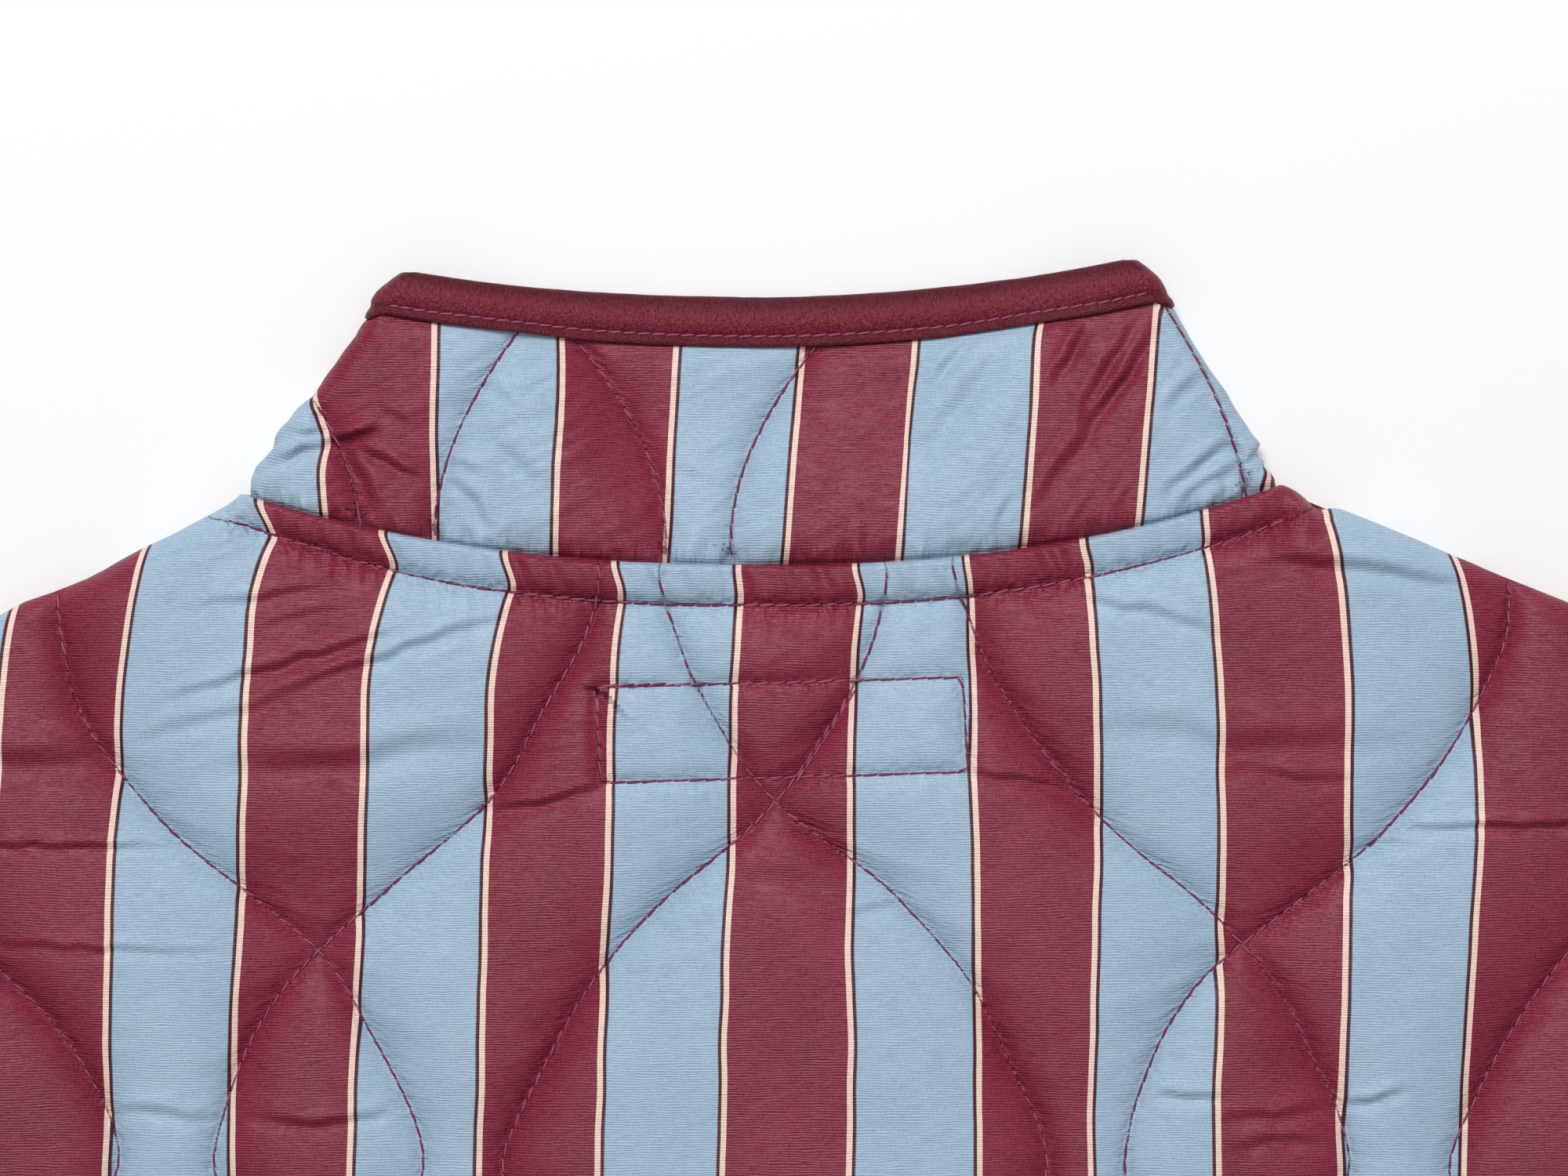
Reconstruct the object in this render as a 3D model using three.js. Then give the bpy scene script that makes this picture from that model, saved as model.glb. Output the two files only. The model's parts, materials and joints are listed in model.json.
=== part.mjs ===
// A quilted jacket with a stand collar, lying flat on its front with its back upwards.
//
// Every piece is a wall of cloth. The body and each sleeve are flattened tubes: the front
// layer lies on the floor, the back layer lies on it, and the cloth turns from one to the
// other in a small fold. Body panels meet at the seams with a gap of SEAM.gap. Bare edges
// are closed by a binding, a folded tape that wraps the edge.
//
// Millimetres. X runs across the jacket, Y from the hem towards the collar, Z upwards.
// While the pieces are worked out, Y is measured from the neck seam at the centre back.
import * as THREE from "three";

const { lerp, clamp, smoothstep, degToRad } = THREE.MathUtils;
const { sin, cos, abs, sign, hypot, min, max, PI } = Math;

// ------------------------------------------------------------------ driving sizes
const CLOTH = { half: 2, collarHalf: 1.8, boundHalf: 1 }; // half of the quilted wall
const SEAM = { gap: 0.4, dipWidth: 4 };
const LAYER = { lower: 2, upper: 6.6 }; // height of the middle of each layer
const MID_HEIGHT = (LAYER.lower + LAYER.upper) / 2;
const FOLD = MID_HEIGHT - LAYER.lower; // radius of the middle of the cloth at a fold
const SEAMED_FOLD = FOLD - SEAM.gap / 2; // the same where a seam runs along the fold
const QUARTER = (SEAMED_FOLD * PI) / 2; // cloth from a flat layer to the side of such a fold
const REACH = FOLD + CLOTH.half; // from a fold's axis to the outline
const TAPE = { thick: 0.7, clear: 0.3, width: 9 };

const NECK = { half: 106, rise: 15, power: 2.2, band: 8.8 };
const FRONT_NECK = { half: 100, low: -70, high: 14, power: 1.6 };
const SHOULDER = { x: 250, y: -44 };
const UNDERARM = { x: 292, y: -300, ease: 16 };
const HEM = { x: 288, y: -680 };
const FRONT_EDGE = 2.3; // from the centre front to the cut edge of each front
const CENTRE_CLEAR = 0.3; // from the centre front to the outside of each front binding
const SLEEVE = { length: 600, fall: degToRad(32), cuff: 125 };
const COLLAR = {
  baseX: 99.5, // where the fold at each end of the back of the collar starts
  topX: 73.4,
  topY: 57.2,
  height: 52.6, // at the centre back, without the cap of its binding
  frontHeight: 53,
  frontPower: 1.5,
  settle: 35, // length over which the back of the collar sinks to the floor
};

// Half the cloth's thickness against the distance from a bound edge, from a plain seam,
// and from the neck edge, where the seam allowances make a raised band up to the topstitch.
const BOUND_EDGE = [
  { from: 0, half: CLOTH.boundHalf },
  { from: TAPE.width + 0.3, half: CLOTH.boundHalf },
  { from: TAPE.width + 2.5, half: CLOTH.half },
];
const PLAIN_SEAM = [
  { from: 0, half: 1.3 },
  { from: SEAM.dipWidth, half: CLOTH.half },
];
const NECK_BAND = [
  { from: 0, half: 1.5 },
  { from: 1.3, half: 2.7 },
  { from: 5, half: 3 },
  { from: 7.6, half: 2.6 },
  { from: NECK.band, half: 1.4 },
  { from: NECK.band + 3, half: CLOTH.half },
];

function thicknessAt(table, distance) {
  const next = table.findIndex((row) => row.from >= distance);
  if (next === -1) return table.at(-1).half;
  if (next === 0) return table[0].half;
  const [a, b] = [table[next - 1], table[next]];
  return lerp(a.half, b.half, (distance - a.from) / (b.from - a.from));
}

// ------------------------------------------------------------------ outlines in plan
const shoulderSlope = Math.atan2(NECK.rise - SHOULDER.y, SHOULDER.x - NECK.half);
const neckline = (x) => NECK.rise * (min(abs(x) / NECK.half, 1) ** NECK.power);
const shoulderLine = (x) =>
  NECK.rise - (abs(x) - NECK.half) * Math.tan(shoulderSlope);

function frontNeckline(x) {
  const share = abs(x) / FRONT_NECK.half;
  if (share < 1)
    return lerp(FRONT_NECK.low, FRONT_NECK.high, share ** FRONT_NECK.power);
  return lerp(FRONT_NECK.high, NECK.rise, (abs(x) - FRONT_NECK.half) / (NECK.half - FRONT_NECK.half));
}

// Half the width of the body: the armhole above the underarm, the side seam below it.
function sideAt(y) {
  if (y > UNDERARM.y) {
    const down = clamp((SHOULDER.y - y) / (SHOULDER.y - UNDERARM.y), 0, 1);
    return lerp(SHOULDER.x, UNDERARM.x, down ** 3);
  }
  return lerp(HEM.x, UNDERARM.x, (y - HEM.y) / (UNDERARM.y - HEM.y));
}

// ------------------------------------------------------------------ walls of cloth
// A wall is a grid of places. A place is { at, out, outer, inner }: a point on the middle
// of the cloth, the way its outer face looks, and how far each face is from the middle.
const place = (at, out, outer, inner = outer) => ({ at, out, outer, inner });

function wall(name, material, grid, { ringRows = false, ringColumns = false } = {}) {
  const rows = grid.length;
  const columns = grid[0].length;
  const points = [];
  for (const face of ["outer", "inner"])
    for (const row of grid)
      for (const p of row) {
        const off = face === "outer" ? p.outer : -p.inner;
        points.push(p.at.clone().addScaledVector(p.out, off));
      }
  const outer = (i, j) => (i % rows) * columns + (j % columns);
  const inner = (i, j) => outer(i, j) + rows * columns;
  const index = [];
  const quad = (a, b, c, d) => {
    const acrossAC = points[a].distanceToSquared(points[c]);
    const acrossBD = points[b].distanceToSquared(points[d]);
    if (acrossAC <= acrossBD + 1e-6) index.push(a, b, c, a, c, d);
    else index.push(b, c, d, b, d, a);
  };
  for (let i = 0; i < rows - (ringRows ? 0 : 1); i++)
    for (let j = 0; j < columns - (ringColumns ? 0 : 1); j++) {
      quad(outer(i, j), outer(i, j + 1), outer(i + 1, j + 1), outer(i + 1, j));
      quad(inner(i, j), inner(i + 1, j), inner(i + 1, j + 1), inner(i, j + 1));
    }
  const rim = (a, b, faceA, faceB) => quad(faceB(...a), faceB(...b), faceA(...b), faceA(...a));
  if (!ringRows)
    for (let j = 0; j < columns - (ringColumns ? 0 : 1); j++) {
      rim([0, j], [0, j + 1], outer, inner);
      rim([rows - 1, j], [rows - 1, j + 1], inner, outer);
    }
  if (!ringColumns)
    for (let i = 0; i < rows - (ringRows ? 0 : 1); i++) {
      rim([i, 0], [i + 1, 0], inner, outer);
      rim([i, columns - 1], [i + 1, columns - 1], outer, inner);
    }
  if (signedVolume(points, index) < 0) index.reverse();
  const geometry = new THREE.BufferGeometry().setFromPoints(points);
  geometry.setIndex(index);
  geometry.computeVertexNormals();
  const mesh = new THREE.Mesh(geometry, material);
  mesh.name = name;
  return mesh;
}

function signedVolume(points, index) {
  let six = 0;
  for (let k = 0; k < index.length; k += 3) {
    const [a, b, c] = index.slice(k, k + 3).map((i) => points[i]);
    six += a.dot(b.clone().cross(c));
  }
  return six / 6;
}

const vec = (x, y, z) => new THREE.Vector3(x, y, z);
const steps = (from, to, count) =>
  Array.from({ length: count + 1 }, (_, i) => lerp(from, to, i / count));

// ------------------------------------------------------------------ the body
// A column of the body is named by its X at the shoulders, or by how far it has turned
// round the side fold. A row is named by its distance from the hem, by its share of the
// plain stretch, by its distance below the top edge, or by its turn over the shoulder.
const TURNS = [1 / 3, 2 / 3, 1];
const NECK_X = steps(0, COLLAR.baseX, 6);
const SHOULDER_X = [NECK.half, 112, 132, 160, 190, 220, SHOULDER.x - SEAM.gap / 2 - QUARTER];
const flatEndAtShoulder = SHOULDER_X.at(-1);
const PLAIN = { fromHem: TAPE.width + 2.5, fromTop: 12 }; // where the plain stretch ends
const ARMHOLE_SHARES = [0, 0.065, 0.2, 0.35, 0.5, 0.7, 1]; // upwards from the underarm
const ROWS = [
  { hem: 0 },
  { hem: TAPE.width + 0.3 },
  ...[0, 0.5].map((belowArmhole) => ({ belowArmhole })),
  ...ARMHOLE_SHARES.map((armhole) => ({ armhole })),
  { below: 7.6 - QUARTER + 2 },
  { below: NECK.band - QUARTER },
  { below: 1.2 },
  { turn: 0 },
  ...TURNS.map((turn) => ({ turn })),
];

function acrossBody(column, y, centre) {
  const folded = 1 - smoothstep(y, UNDERARM.y, UNDERARM.y + UNDERARM.ease);
  const edge = sideAt(y);
  const flatEnd = lerp(edge - SEAM.gap / 2 - QUARTER, edge - REACH, folded);
  if (column.turn === undefined) {
    const pinned = centre && centre + TAPE.width + 2.5;
    const share = (abs(column.x) - pinned) / (flatEndAtShoulder - pinned);
    const x = share < 0 ? abs(column.x) : lerp(pinned, flatEnd, share);
    return { x: sign(column.x) * x, drop: 0, out: vec(0, 0, 1) };
  }
  const angle = (column.turn * PI) / 2;
  const beyond = lerp(column.turn * QUARTER, SEAMED_FOLD * sin(angle), folded);
  return {
    x: column.side * (flatEnd + beyond),
    drop: folded * SEAMED_FOLD * (1 - cos(angle)),
    out: vec(column.side * folded * sin(angle), 0, lerp(1, cos(angle), folded)).normalize(),
  };
}

function bodyPlace(column, row, { topEdge, centre, neckBand }) {
  const topX = acrossBody(column, SHOULDER.y, centre).x;
  const overShoulder = smoothstep(abs(topX), NECK.half - 0.01, NECK.half + 5);
  const flatEnd = lerp(
    topEdge(topX) - QUARTER,
    shoulderLine(topX) - REACH / cos(shoulderSlope),
    overShoulder,
  );
  let y = flatEnd;
  if (row.hem !== undefined) y = HEM.y + row.hem;
  if (row.belowArmhole !== undefined) y = lerp(HEM.y + PLAIN.fromHem, UNDERARM.y, row.belowArmhole);
  if (row.armhole !== undefined) y = lerp(UNDERARM.y, flatEnd - PLAIN.fromTop, row.armhole);
  if (row.below !== undefined) y = flatEnd - row.below;
  const side = acrossBody(column, y, centre);
  const at = vec(side.x, y, LAYER.upper - side.drop);
  let out = side.out;
  let toTop = flatEnd + QUARTER - y;
  if (row.turn !== undefined) {
    const angle = (row.turn * PI) / 2;
    const beyond = lerp(row.turn * QUARTER, SEAMED_FOLD * sin(angle), overShoulder);
    const lean = overShoulder * shoulderSlope;
    at.x += sign(topX) * sin(lean) * beyond;
    at.y += cos(lean) * beyond;
    at.z -= overShoulder * SEAMED_FOLD * (1 - cos(angle));
    const tilt = overShoulder * angle;
    out = vec(sign(topX) * sin(lean) * sin(tilt), cos(lean) * sin(tilt), cos(tilt));
    toTop -= row.turn * QUARTER;
  }
  const bound = min(
    thicknessAt(BOUND_EDGE, y - HEM.y),
    centre ? thicknessAt(BOUND_EDGE, abs(at.x) - centre) : CLOTH.half,
  );
  const toArmhole = y > UNDERARM.y ? sideAt(y) - abs(side.x) : SEAM.dipWidth;
  const band = neckBand ? thicknessAt(NECK_BAND, toTop) : thicknessAt(PLAIN_SEAM, toTop);
  const unbound = lerp(band, thicknessAt(PLAIN_SEAM, toArmhole), overShoulder);
  const outer = bound < CLOTH.half ? min(bound, unbound) : unbound;
  return place(at, out, outer, bound);
}

// Turns a place on the upper layer into the one below it on the lower layer.
function underneath(p) {
  return { ...p, at: vec(p.at.x, p.at.y, 2 * MID_HEIGHT - p.at.z), out: vec(p.out.x, p.out.y, -p.out.z) };
}

const halfColumns = (side, from) => [
  ...[...NECK_X.filter((x) => x > from), ...SHOULDER_X].map((x) => ({ x: side * x })),
  ...TURNS.map((turn) => ({ turn, side })),
];

function backPanel(material) {
  const columns = [
    ...halfColumns(-1, 0).reverse(),
    { x: 0 },
    ...halfColumns(1, 0),
  ];
  const cut = { topEdge: neckline, centre: 0, neckBand: true };
  const grid = ROWS.map((row) => columns.map((column) => bodyPlace(column, row, cut)));
  return wall("back", material, grid);
}

function frontPanel(name, side, material) {
  const nearCentre = [FRONT_EDGE, FRONT_EDGE + TAPE.width + 0.3].map((x) => ({ x: side * x }));
  const columns = [...nearCentre, ...halfColumns(side, FRONT_EDGE + TAPE.width + 0.3)];
  const cut = { topEdge: frontNeckline, centre: FRONT_EDGE, neckBand: false };
  const grid = ROWS.map((row) =>
    columns.map((column) => underneath(bodyPlace(column, row, cut))),
  );
  return wall(name, material, grid);
}

// ------------------------------------------------------------------ a sleeve
// A section of the sleeve is named by its distance from the armhole or from the cuff, or by
// its share of the length. Round each section the cloth runs over the upper layer from the
// sleeve's top fold to its lower fold, and back underneath.
const SECTIONS = [
  { arm: 0 },
  { arm: SEAM.dipWidth },
  ...[0.1, 0.4, 0.7].map((share) => ({ share })),
  { cuff: TAPE.width + 2.5 },
  { cuff: TAPE.width + 0.3 },
  { cuff: 0 },
];
const HALF_TURNS = steps(0, 1, 6);
const along = vec(cos(SLEEVE.fall), -sin(SLEEVE.fall), 0);
const acrossCuff = vec(-sin(SLEEVE.fall), -cos(SLEEVE.fall), 0);

// The ends of the line that runs down the sleeve from a share of the way round the armhole,
// measured upwards as on the body, to the same share of the way across the cuff.
const topAxis = shoulderLine(SHOULDER.x) - REACH / cos(shoulderSlope);
const ARMHOLE = { low: UNDERARM.y, high: topAxis - PLAIN.fromTop };
const TOP = (topAxis - ARMHOLE.low) / (ARMHOLE.high - ARMHOLE.low);

function sleeveEnds(share) {
  const y = max(lerp(ARMHOLE.low, ARMHOLE.high, share), ARMHOLE.low + REACH);
  const arm = vec(sideAt(y) + SEAM.gap / 2, y, 0);
  const cuff = vec(SHOULDER.x, SHOULDER.y, 0)
    .addScaledVector(along, SLEEVE.length)
    .addScaledVector(acrossCuff, lerp(SLEEVE.cuff - REACH, REACH, share / TOP));
  return { arm, cuff };
}

function sleevePlan(section, share) {
  const { arm, cuff } = sleeveEnds(share);
  const length = arm.distanceTo(cuff);
  let part = section.share;
  if (section.arm !== undefined) part = section.arm / length;
  if (section.cuff !== undefined) part = 1 - section.cuff / length;
  return { at: arm.clone().lerp(cuff, part), part, toArm: part * length, toCuff: (1 - part) * length };
}

// The way in plan in which a fold bulges. It starts in line with the body's own fold or
// with the armhole, and is square to the sleeve's edge from its tenth part on.
function bulge(share, part) {
  const isTop = share === TOP;
  const atArm = isTop ? vec(sin(shoulderSlope), cos(shoulderSlope), 0) : vec(0.4, -0.92, 0);
  const { arm, cuff } = sleeveEnds(share);
  const edge = cuff.sub(arm).normalize();
  const square = isTop ? vec(-edge.y, edge.x, 0) : vec(edge.y, -edge.x, 0);
  return atArm.lerp(square, min(part * 10, 1)).normalize();
}

function sleevePlace(section, spot) {
  const { at, part, toArm, toCuff } = sleevePlan(section, spot.share);
  const half = min(thicknessAt(BOUND_EDGE, toCuff), thicknessAt(PLAIN_SEAM, toArm));
  const inner = thicknessAt(BOUND_EDGE, toCuff);
  const angle = spot.turn * PI;
  const push = bulge(spot.share, part).multiplyScalar(sin(angle));
  at.addScaledVector(push, FOLD);
  at.z = MID_HEIGHT + FOLD * cos(angle);
  return place(at, push.setZ(cos(angle)), half, inner);
}

const UP_THE_ARMHOLE = [...ARMHOLE_SHARES, TOP];
const SLEEVE_SPOTS = [
  ...UP_THE_ARMHOLE.toReversed().map((share) => ({ share, turn: 0 })),
  ...HALF_TURNS.slice(1, -1).map((turn) => ({ share: 0, turn })),
  ...UP_THE_ARMHOLE.map((share) => ({ share, turn: 1 })),
  ...HALF_TURNS.slice(1, -1).toReversed().map((turn) => ({ share: TOP, turn })),
];

const mirrored = (p) => ({ ...p, at: p.at.clone().setX(-p.at.x), out: p.out.clone().setX(-p.out.x) });
const onSide = (side, p) => (side < 0 ? mirrored(p) : p);

function sleeve(name, side, material) {
  const grid = SECTIONS.map((section) =>
    SLEEVE_SPOTS.map((spot) => onSide(side, sleevePlace(section, spot))),
  );
  return wall(name, material, grid, { ringColumns: true });
}

// ------------------------------------------------------------------ the collar
// The collar is one band. From the centre front on the left it lies on the floor, turns
// over in the left fold, crosses the back, and turns under again on the right. The band is
// worked out for the right half, in stations: on the back by X, round the fold, on the front by X.
const gapAbove = (curve, x) => {
  const slope = (curve(x + 0.5) - curve(x - 0.5)) / 1;
  return SEAM.gap * hypot(1, slope);
};
const frontBase = (x) => frontNeckline(x) + gapAbove(frontNeckline, x);
const frontTop = (x) =>
  lerp(FRONT_NECK.low + COLLAR.frontHeight, COLLAR.topY, (abs(x) / COLLAR.topX) ** COLLAR.frontPower);
const collarBaseY = frontBase(COLLAR.baseX);
const foldLine = vec(COLLAR.topX - COLLAR.baseX, COLLAR.topY - collarBaseY, 0).normalize();
const foldSide = vec(foldLine.y, -foldLine.x, 0);

const BACK_STATIONS = NECK_X.map((x) => ({ back: x / COLLAR.baseX }));
const FOLD_STATIONS = HALF_TURNS.slice(1, -1).map((turn) => ({ turn }));
const FRONT_STATIONS = [
  ...NECK_X.toReversed().slice(0, -1).map((x) => ({ front: x / COLLAR.baseX })),
].filter((s) => s.front * COLLAR.topX > FRONT_EDGE + TAPE.width + 2);
const COLLAR_HALF = [
  ...BACK_STATIONS,
  ...FOLD_STATIONS,
  ...FRONT_STATIONS,
  { frontX: FRONT_EDGE + TAPE.width + 0.3 },
  { frontX: FRONT_EDGE },
];
const COLLAR_RISES = [0, 0.3, 0.6, 1 - (TAPE.width + 2.5) / COLLAR.height, 1 - (TAPE.width + 0.3) / COLLAR.height, 1];

function backCollarTop(x) {
  return lerp(COLLAR.height, COLLAR.topY, (x / COLLAR.topX) ** 2);
}

// The back of the collar lies on the front of it near the folds, and past the front's top
// edge it sinks to the floor.
function backCollarHeight(x, y) {
  const lastSupport = max(frontTop(min(abs(x), COLLAR.topX)), neckline(x));
  return lerp(LAYER.upper, LAYER.lower, smoothstep(y - lastSupport, 3, COLLAR.settle));
}

function collarMiddle(station, rise) {
  if (station.back !== undefined) {
    const base = station.back * COLLAR.baseX;
    const top = station.back * COLLAR.topX;
    const baseY = lerp(neckline(base) + SEAM.gap, collarBaseY, station.back ** 8);
    const x = lerp(base, top, rise);
    const y = lerp(baseY, backCollarTop(top), rise);
    const slopeY = (backCollarHeight(x, y + 1) - backCollarHeight(x, y - 1)) / 2;
    const slopeX = (backCollarHeight(x + 1, y) - backCollarHeight(x - 1, y)) / 2;
    return { at: vec(x, y, backCollarHeight(x, y)), out: vec(-slopeX, -slopeY, 1).normalize() };
  }
  if (station.turn !== undefined) {
    const angle = station.turn * PI;
    const at = vec(lerp(COLLAR.baseX, COLLAR.topX, rise), lerp(collarBaseY, COLLAR.topY, rise), 0);
    at.addScaledVector(foldSide, FOLD * sin(angle));
    at.z = MID_HEIGHT + FOLD * cos(angle);
    return { at, out: foldSide.clone().multiplyScalar(sin(angle)).setZ(cos(angle)) };
  }
  const base = station.frontX ?? station.front * COLLAR.baseX;
  const top = station.frontX ?? station.front * COLLAR.topX;
  const at = vec(lerp(base, top, rise), lerp(frontBase(base), frontTop(top), rise), LAYER.lower);
  return { at, out: vec(0, 0, -1) };
}

function collarPlace(station, rise) {
  const { at, out } = collarMiddle(station, rise);
  const toTop = (1 - rise) * COLLAR.height;
  const toFront = station.frontX === undefined ? COLLAR.height : station.frontX - FRONT_EDGE;
  const half = min(CLOTH.collarHalf, thicknessAt(BOUND_EDGE, toTop), thicknessAt(BOUND_EDGE, toFront));
  return place(at, out, half);
}

function bothHalves(stations, make) {
  const right = stations.map(make);
  const left = stations.slice(1).map(make).map((row) => row.map(mirrored));
  return [...left.toReversed(), ...right];
}

function collar(material) {
  const grid = bothHalves(COLLAR_HALF, (station) =>
    COLLAR_RISES.map((rise) => collarPlace(station, rise)),
  );
  return wall("collar", material, grid);
}

// ------------------------------------------------------------------ bindings
// A binding wraps an edge. At each station it is given the middle of the cloth at the edge,
// and the middle of the cloth one tape width in. Its section runs in along the outer face,
// round the edge, and back along the inner face.
const CAP_ANGLES = [0, PI / 4, PI / 2, (3 * PI) / 4, PI];
const tapeMiddle = CLOTH.boundHalf + TAPE.clear + TAPE.thick / 2;

function bindingSection(edge, deep) {
  const off = edge.at.clone().sub(deep.at).normalize();
  const flank = (from, face) => {
    const out = from.out.clone().multiplyScalar(face);
    return place(from.at.clone().addScaledVector(out, tapeMiddle), out, TAPE.thick / 2);
  };
  const cap = CAP_ANGLES.map((angle) => {
    const out = edge.out.clone().multiplyScalar(cos(angle)).addScaledVector(off, sin(angle));
    return place(edge.at.clone().addScaledVector(out, tapeMiddle), out, TAPE.thick / 2);
  });
  return [flank(deep, 1), ...cap, flank(deep, -1)];
}

function collarBinding(material) {
  const deepRise = 1 - TAPE.width / COLLAR.height;
  const stations = [...COLLAR_HALF.slice(0, -2), { frontX: FRONT_EDGE + TAPE.width }, { frontX: CENTRE_CLEAR }];
  const grid = bothHalves(stations, (station) =>
    bindingSection(collarMiddle(station, 1), collarMiddle(station, deepRise)),
  );
  return wall("collar_binding", material, grid);
}

function hemBinding(material) {
  const back = { topEdge: neckline, centre: 0, neckBand: true };
  const deep = { hem: TAPE.width };
  const edge = { hem: 0 };
  const upper = [{ x: 0 }, { x: flatEndAtShoulder }, ...TURNS.map((turn) => ({ turn, side: 1 }))];
  const lower = [...TURNS.slice(0, -1).toReversed().map((turn) => ({ turn, side: 1 })), { x: flatEndAtShoulder }];
  const stations = [
    ...upper.map((column) => [bodyPlace(column, edge, back), bodyPlace(column, deep, back)]),
    ...lower.map((column) => [edge, deep].map((row) => underneath(bodyPlace(column, row, back)))),
    [HEM.y, HEM.y + TAPE.width].map((y) => place(vec(CENTRE_CLEAR, y, LAYER.lower), vec(0, 0, -1), 0)),
  ];
  const grid = bothHalves(stations, ([atEdge, atDeep]) => bindingSection(atEdge, atDeep));
  return wall("hem_binding", material, grid);
}

function cuffBinding(name, side, material) {
  const spots = SLEEVE_SPOTS.filter((spot) => spot.share === 0 || spot.share === TOP);
  const grid = spots.map((spot) =>
    bindingSection(sleevePlace({ cuff: 0 }, spot), sleevePlace({ cuff: TAPE.width }, spot)).map((p) =>
      onSide(side, p),
    ),
  );
  return wall(name, material, grid, { ringRows: true });
}

function frontBinding(name, side, material) {
  const low = HEM.y + TAPE.width + SEAM.gap;
  const high = frontTop(CENTRE_CLEAR) - TAPE.width - SEAM.gap;
  const grid = [low, high].map((y) => {
    const [edge, deep] = [FRONT_EDGE, FRONT_EDGE + TAPE.width].map((x) =>
      place(vec(x, y, LAYER.lower), vec(0, 0, -1), 0),
    );
    return bindingSection(edge, deep).map((p) => onSide(side, p));
  });
  return wall(name, material, grid);
}

// ------------------------------------------------------------------ the jacket
const stripedCloth = new THREE.MeshStandardMaterial({ name: "striped_cloth", color: 0x863b4b, roughness: 0.55, metalness: 0 });
const satinTape = new THREE.MeshStandardMaterial({ name: "satin_tape", color: 0x712f3e, roughness: 0.4, metalness: 0 });

const jacket = new THREE.Group();
jacket.name = "quilted_jacket";
jacket.add(
  backPanel(stripedCloth),
  frontPanel("front_left", -1, stripedCloth),
  frontPanel("front_right", 1, stripedCloth),
  sleeve("sleeve_left", -1, stripedCloth),
  sleeve("sleeve_right", 1, stripedCloth),
  collar(stripedCloth),
  collarBinding(satinTape),
  hemBinding(satinTape),
  cuffBinding("cuff_binding_left", -1, satinTape),
  cuffBinding("cuff_binding_right", 1, satinTape),
  frontBinding("front_binding_left", -1, satinTape),
  frontBinding("front_binding_right", 1, satinTape),
);

// The origin goes to the middle of the jacket's base, on the floor.
const box = new THREE.Box3().setFromObject(jacket);
const middle = box.getCenter(new THREE.Vector3());
jacket.position.set(-middle.x, -middle.y, -box.min.z);

export default jacket;
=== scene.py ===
# %% [markdown]
# # A quilted jacket, laid flat on its front
#
# The jacket is made of striped satin, quilted with wadding in wavy "onion" lines, and its
# edges are bound with a darker satin tape. It lies with its back upwards, so each part of it
# is two layers thick: a front layer on the floor and a back layer on that. Cloth turns from
# one layer to the other in small round folds at the shoulders, sides, sleeves and collar.
#
# Everything below is worked out in millimetres, with the centre back of the neck seam at
# (0, 0), X across the jacket and Y towards the collar. ORIGIN and MM take it to the frame.

# %% Load the frame
import bmesh
import bpy
import json
import math
from mathutils import Matrix, Vector
from mathutils.bvhtree import BVHTree
import numpy as np

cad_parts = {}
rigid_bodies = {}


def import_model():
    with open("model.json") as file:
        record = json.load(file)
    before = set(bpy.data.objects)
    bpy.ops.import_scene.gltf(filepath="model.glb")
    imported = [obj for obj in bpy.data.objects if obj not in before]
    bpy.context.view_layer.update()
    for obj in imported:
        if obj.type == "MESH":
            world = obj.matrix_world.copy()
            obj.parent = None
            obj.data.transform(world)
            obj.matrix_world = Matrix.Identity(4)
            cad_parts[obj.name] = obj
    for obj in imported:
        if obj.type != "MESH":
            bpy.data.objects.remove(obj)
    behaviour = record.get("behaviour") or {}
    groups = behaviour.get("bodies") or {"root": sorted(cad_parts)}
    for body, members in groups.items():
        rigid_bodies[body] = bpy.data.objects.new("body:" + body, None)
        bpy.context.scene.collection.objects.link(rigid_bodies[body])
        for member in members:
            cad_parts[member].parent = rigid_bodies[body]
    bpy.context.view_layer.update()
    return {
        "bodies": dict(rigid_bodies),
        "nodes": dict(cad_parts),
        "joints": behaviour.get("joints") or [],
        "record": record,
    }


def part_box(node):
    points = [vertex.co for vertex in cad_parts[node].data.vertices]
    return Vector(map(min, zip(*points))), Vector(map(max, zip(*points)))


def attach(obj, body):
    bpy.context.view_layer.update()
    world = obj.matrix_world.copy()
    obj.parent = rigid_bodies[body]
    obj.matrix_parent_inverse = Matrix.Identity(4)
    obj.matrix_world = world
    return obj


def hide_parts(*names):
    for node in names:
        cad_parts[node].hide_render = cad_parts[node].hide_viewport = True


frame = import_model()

MM = 0.001
HEM_Y = -680.0
HEM_TAPE = 2.0  # how far the hem's binding reaches past the cloth
ORIGIN = Vector((0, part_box("hem_binding")[0].y - (HEM_Y - HEM_TAPE) * MM, 0))
SIDES = ((-1, "left"), (1, "right"))

# %% [markdown]
# ## Camera, light and floor
#
# The camera looks straight down on the collar and the upper back. The light is that of a
# small studio: a pale room that reaches everything, and one broad soft lamp high up on the
# collar's side, so that slopes that face the hem are darker than those that face the collar.

# %% Camera
VIEW_WIDTH = 318.7
CAMERA_HEIGHT = 1200.0
SENSOR = 36.0
AIM = (3.2, -4.8)
CLOTH_TOP = 8.0

camera_data = bpy.data.cameras.new("camera")
camera_data.sensor_width = SENSOR
camera_data.lens = SENSOR * CAMERA_HEIGHT / VIEW_WIDTH
camera = bpy.data.objects.new("camera", camera_data)
camera.location = ORIGIN + Vector((AIM[0], AIM[1], CAMERA_HEIGHT + CLOTH_TOP)) * MM
bpy.context.collection.objects.link(camera)
bpy.context.scene.camera = camera
print("camera lens", round(camera_data.lens, 1), "mm")

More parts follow.
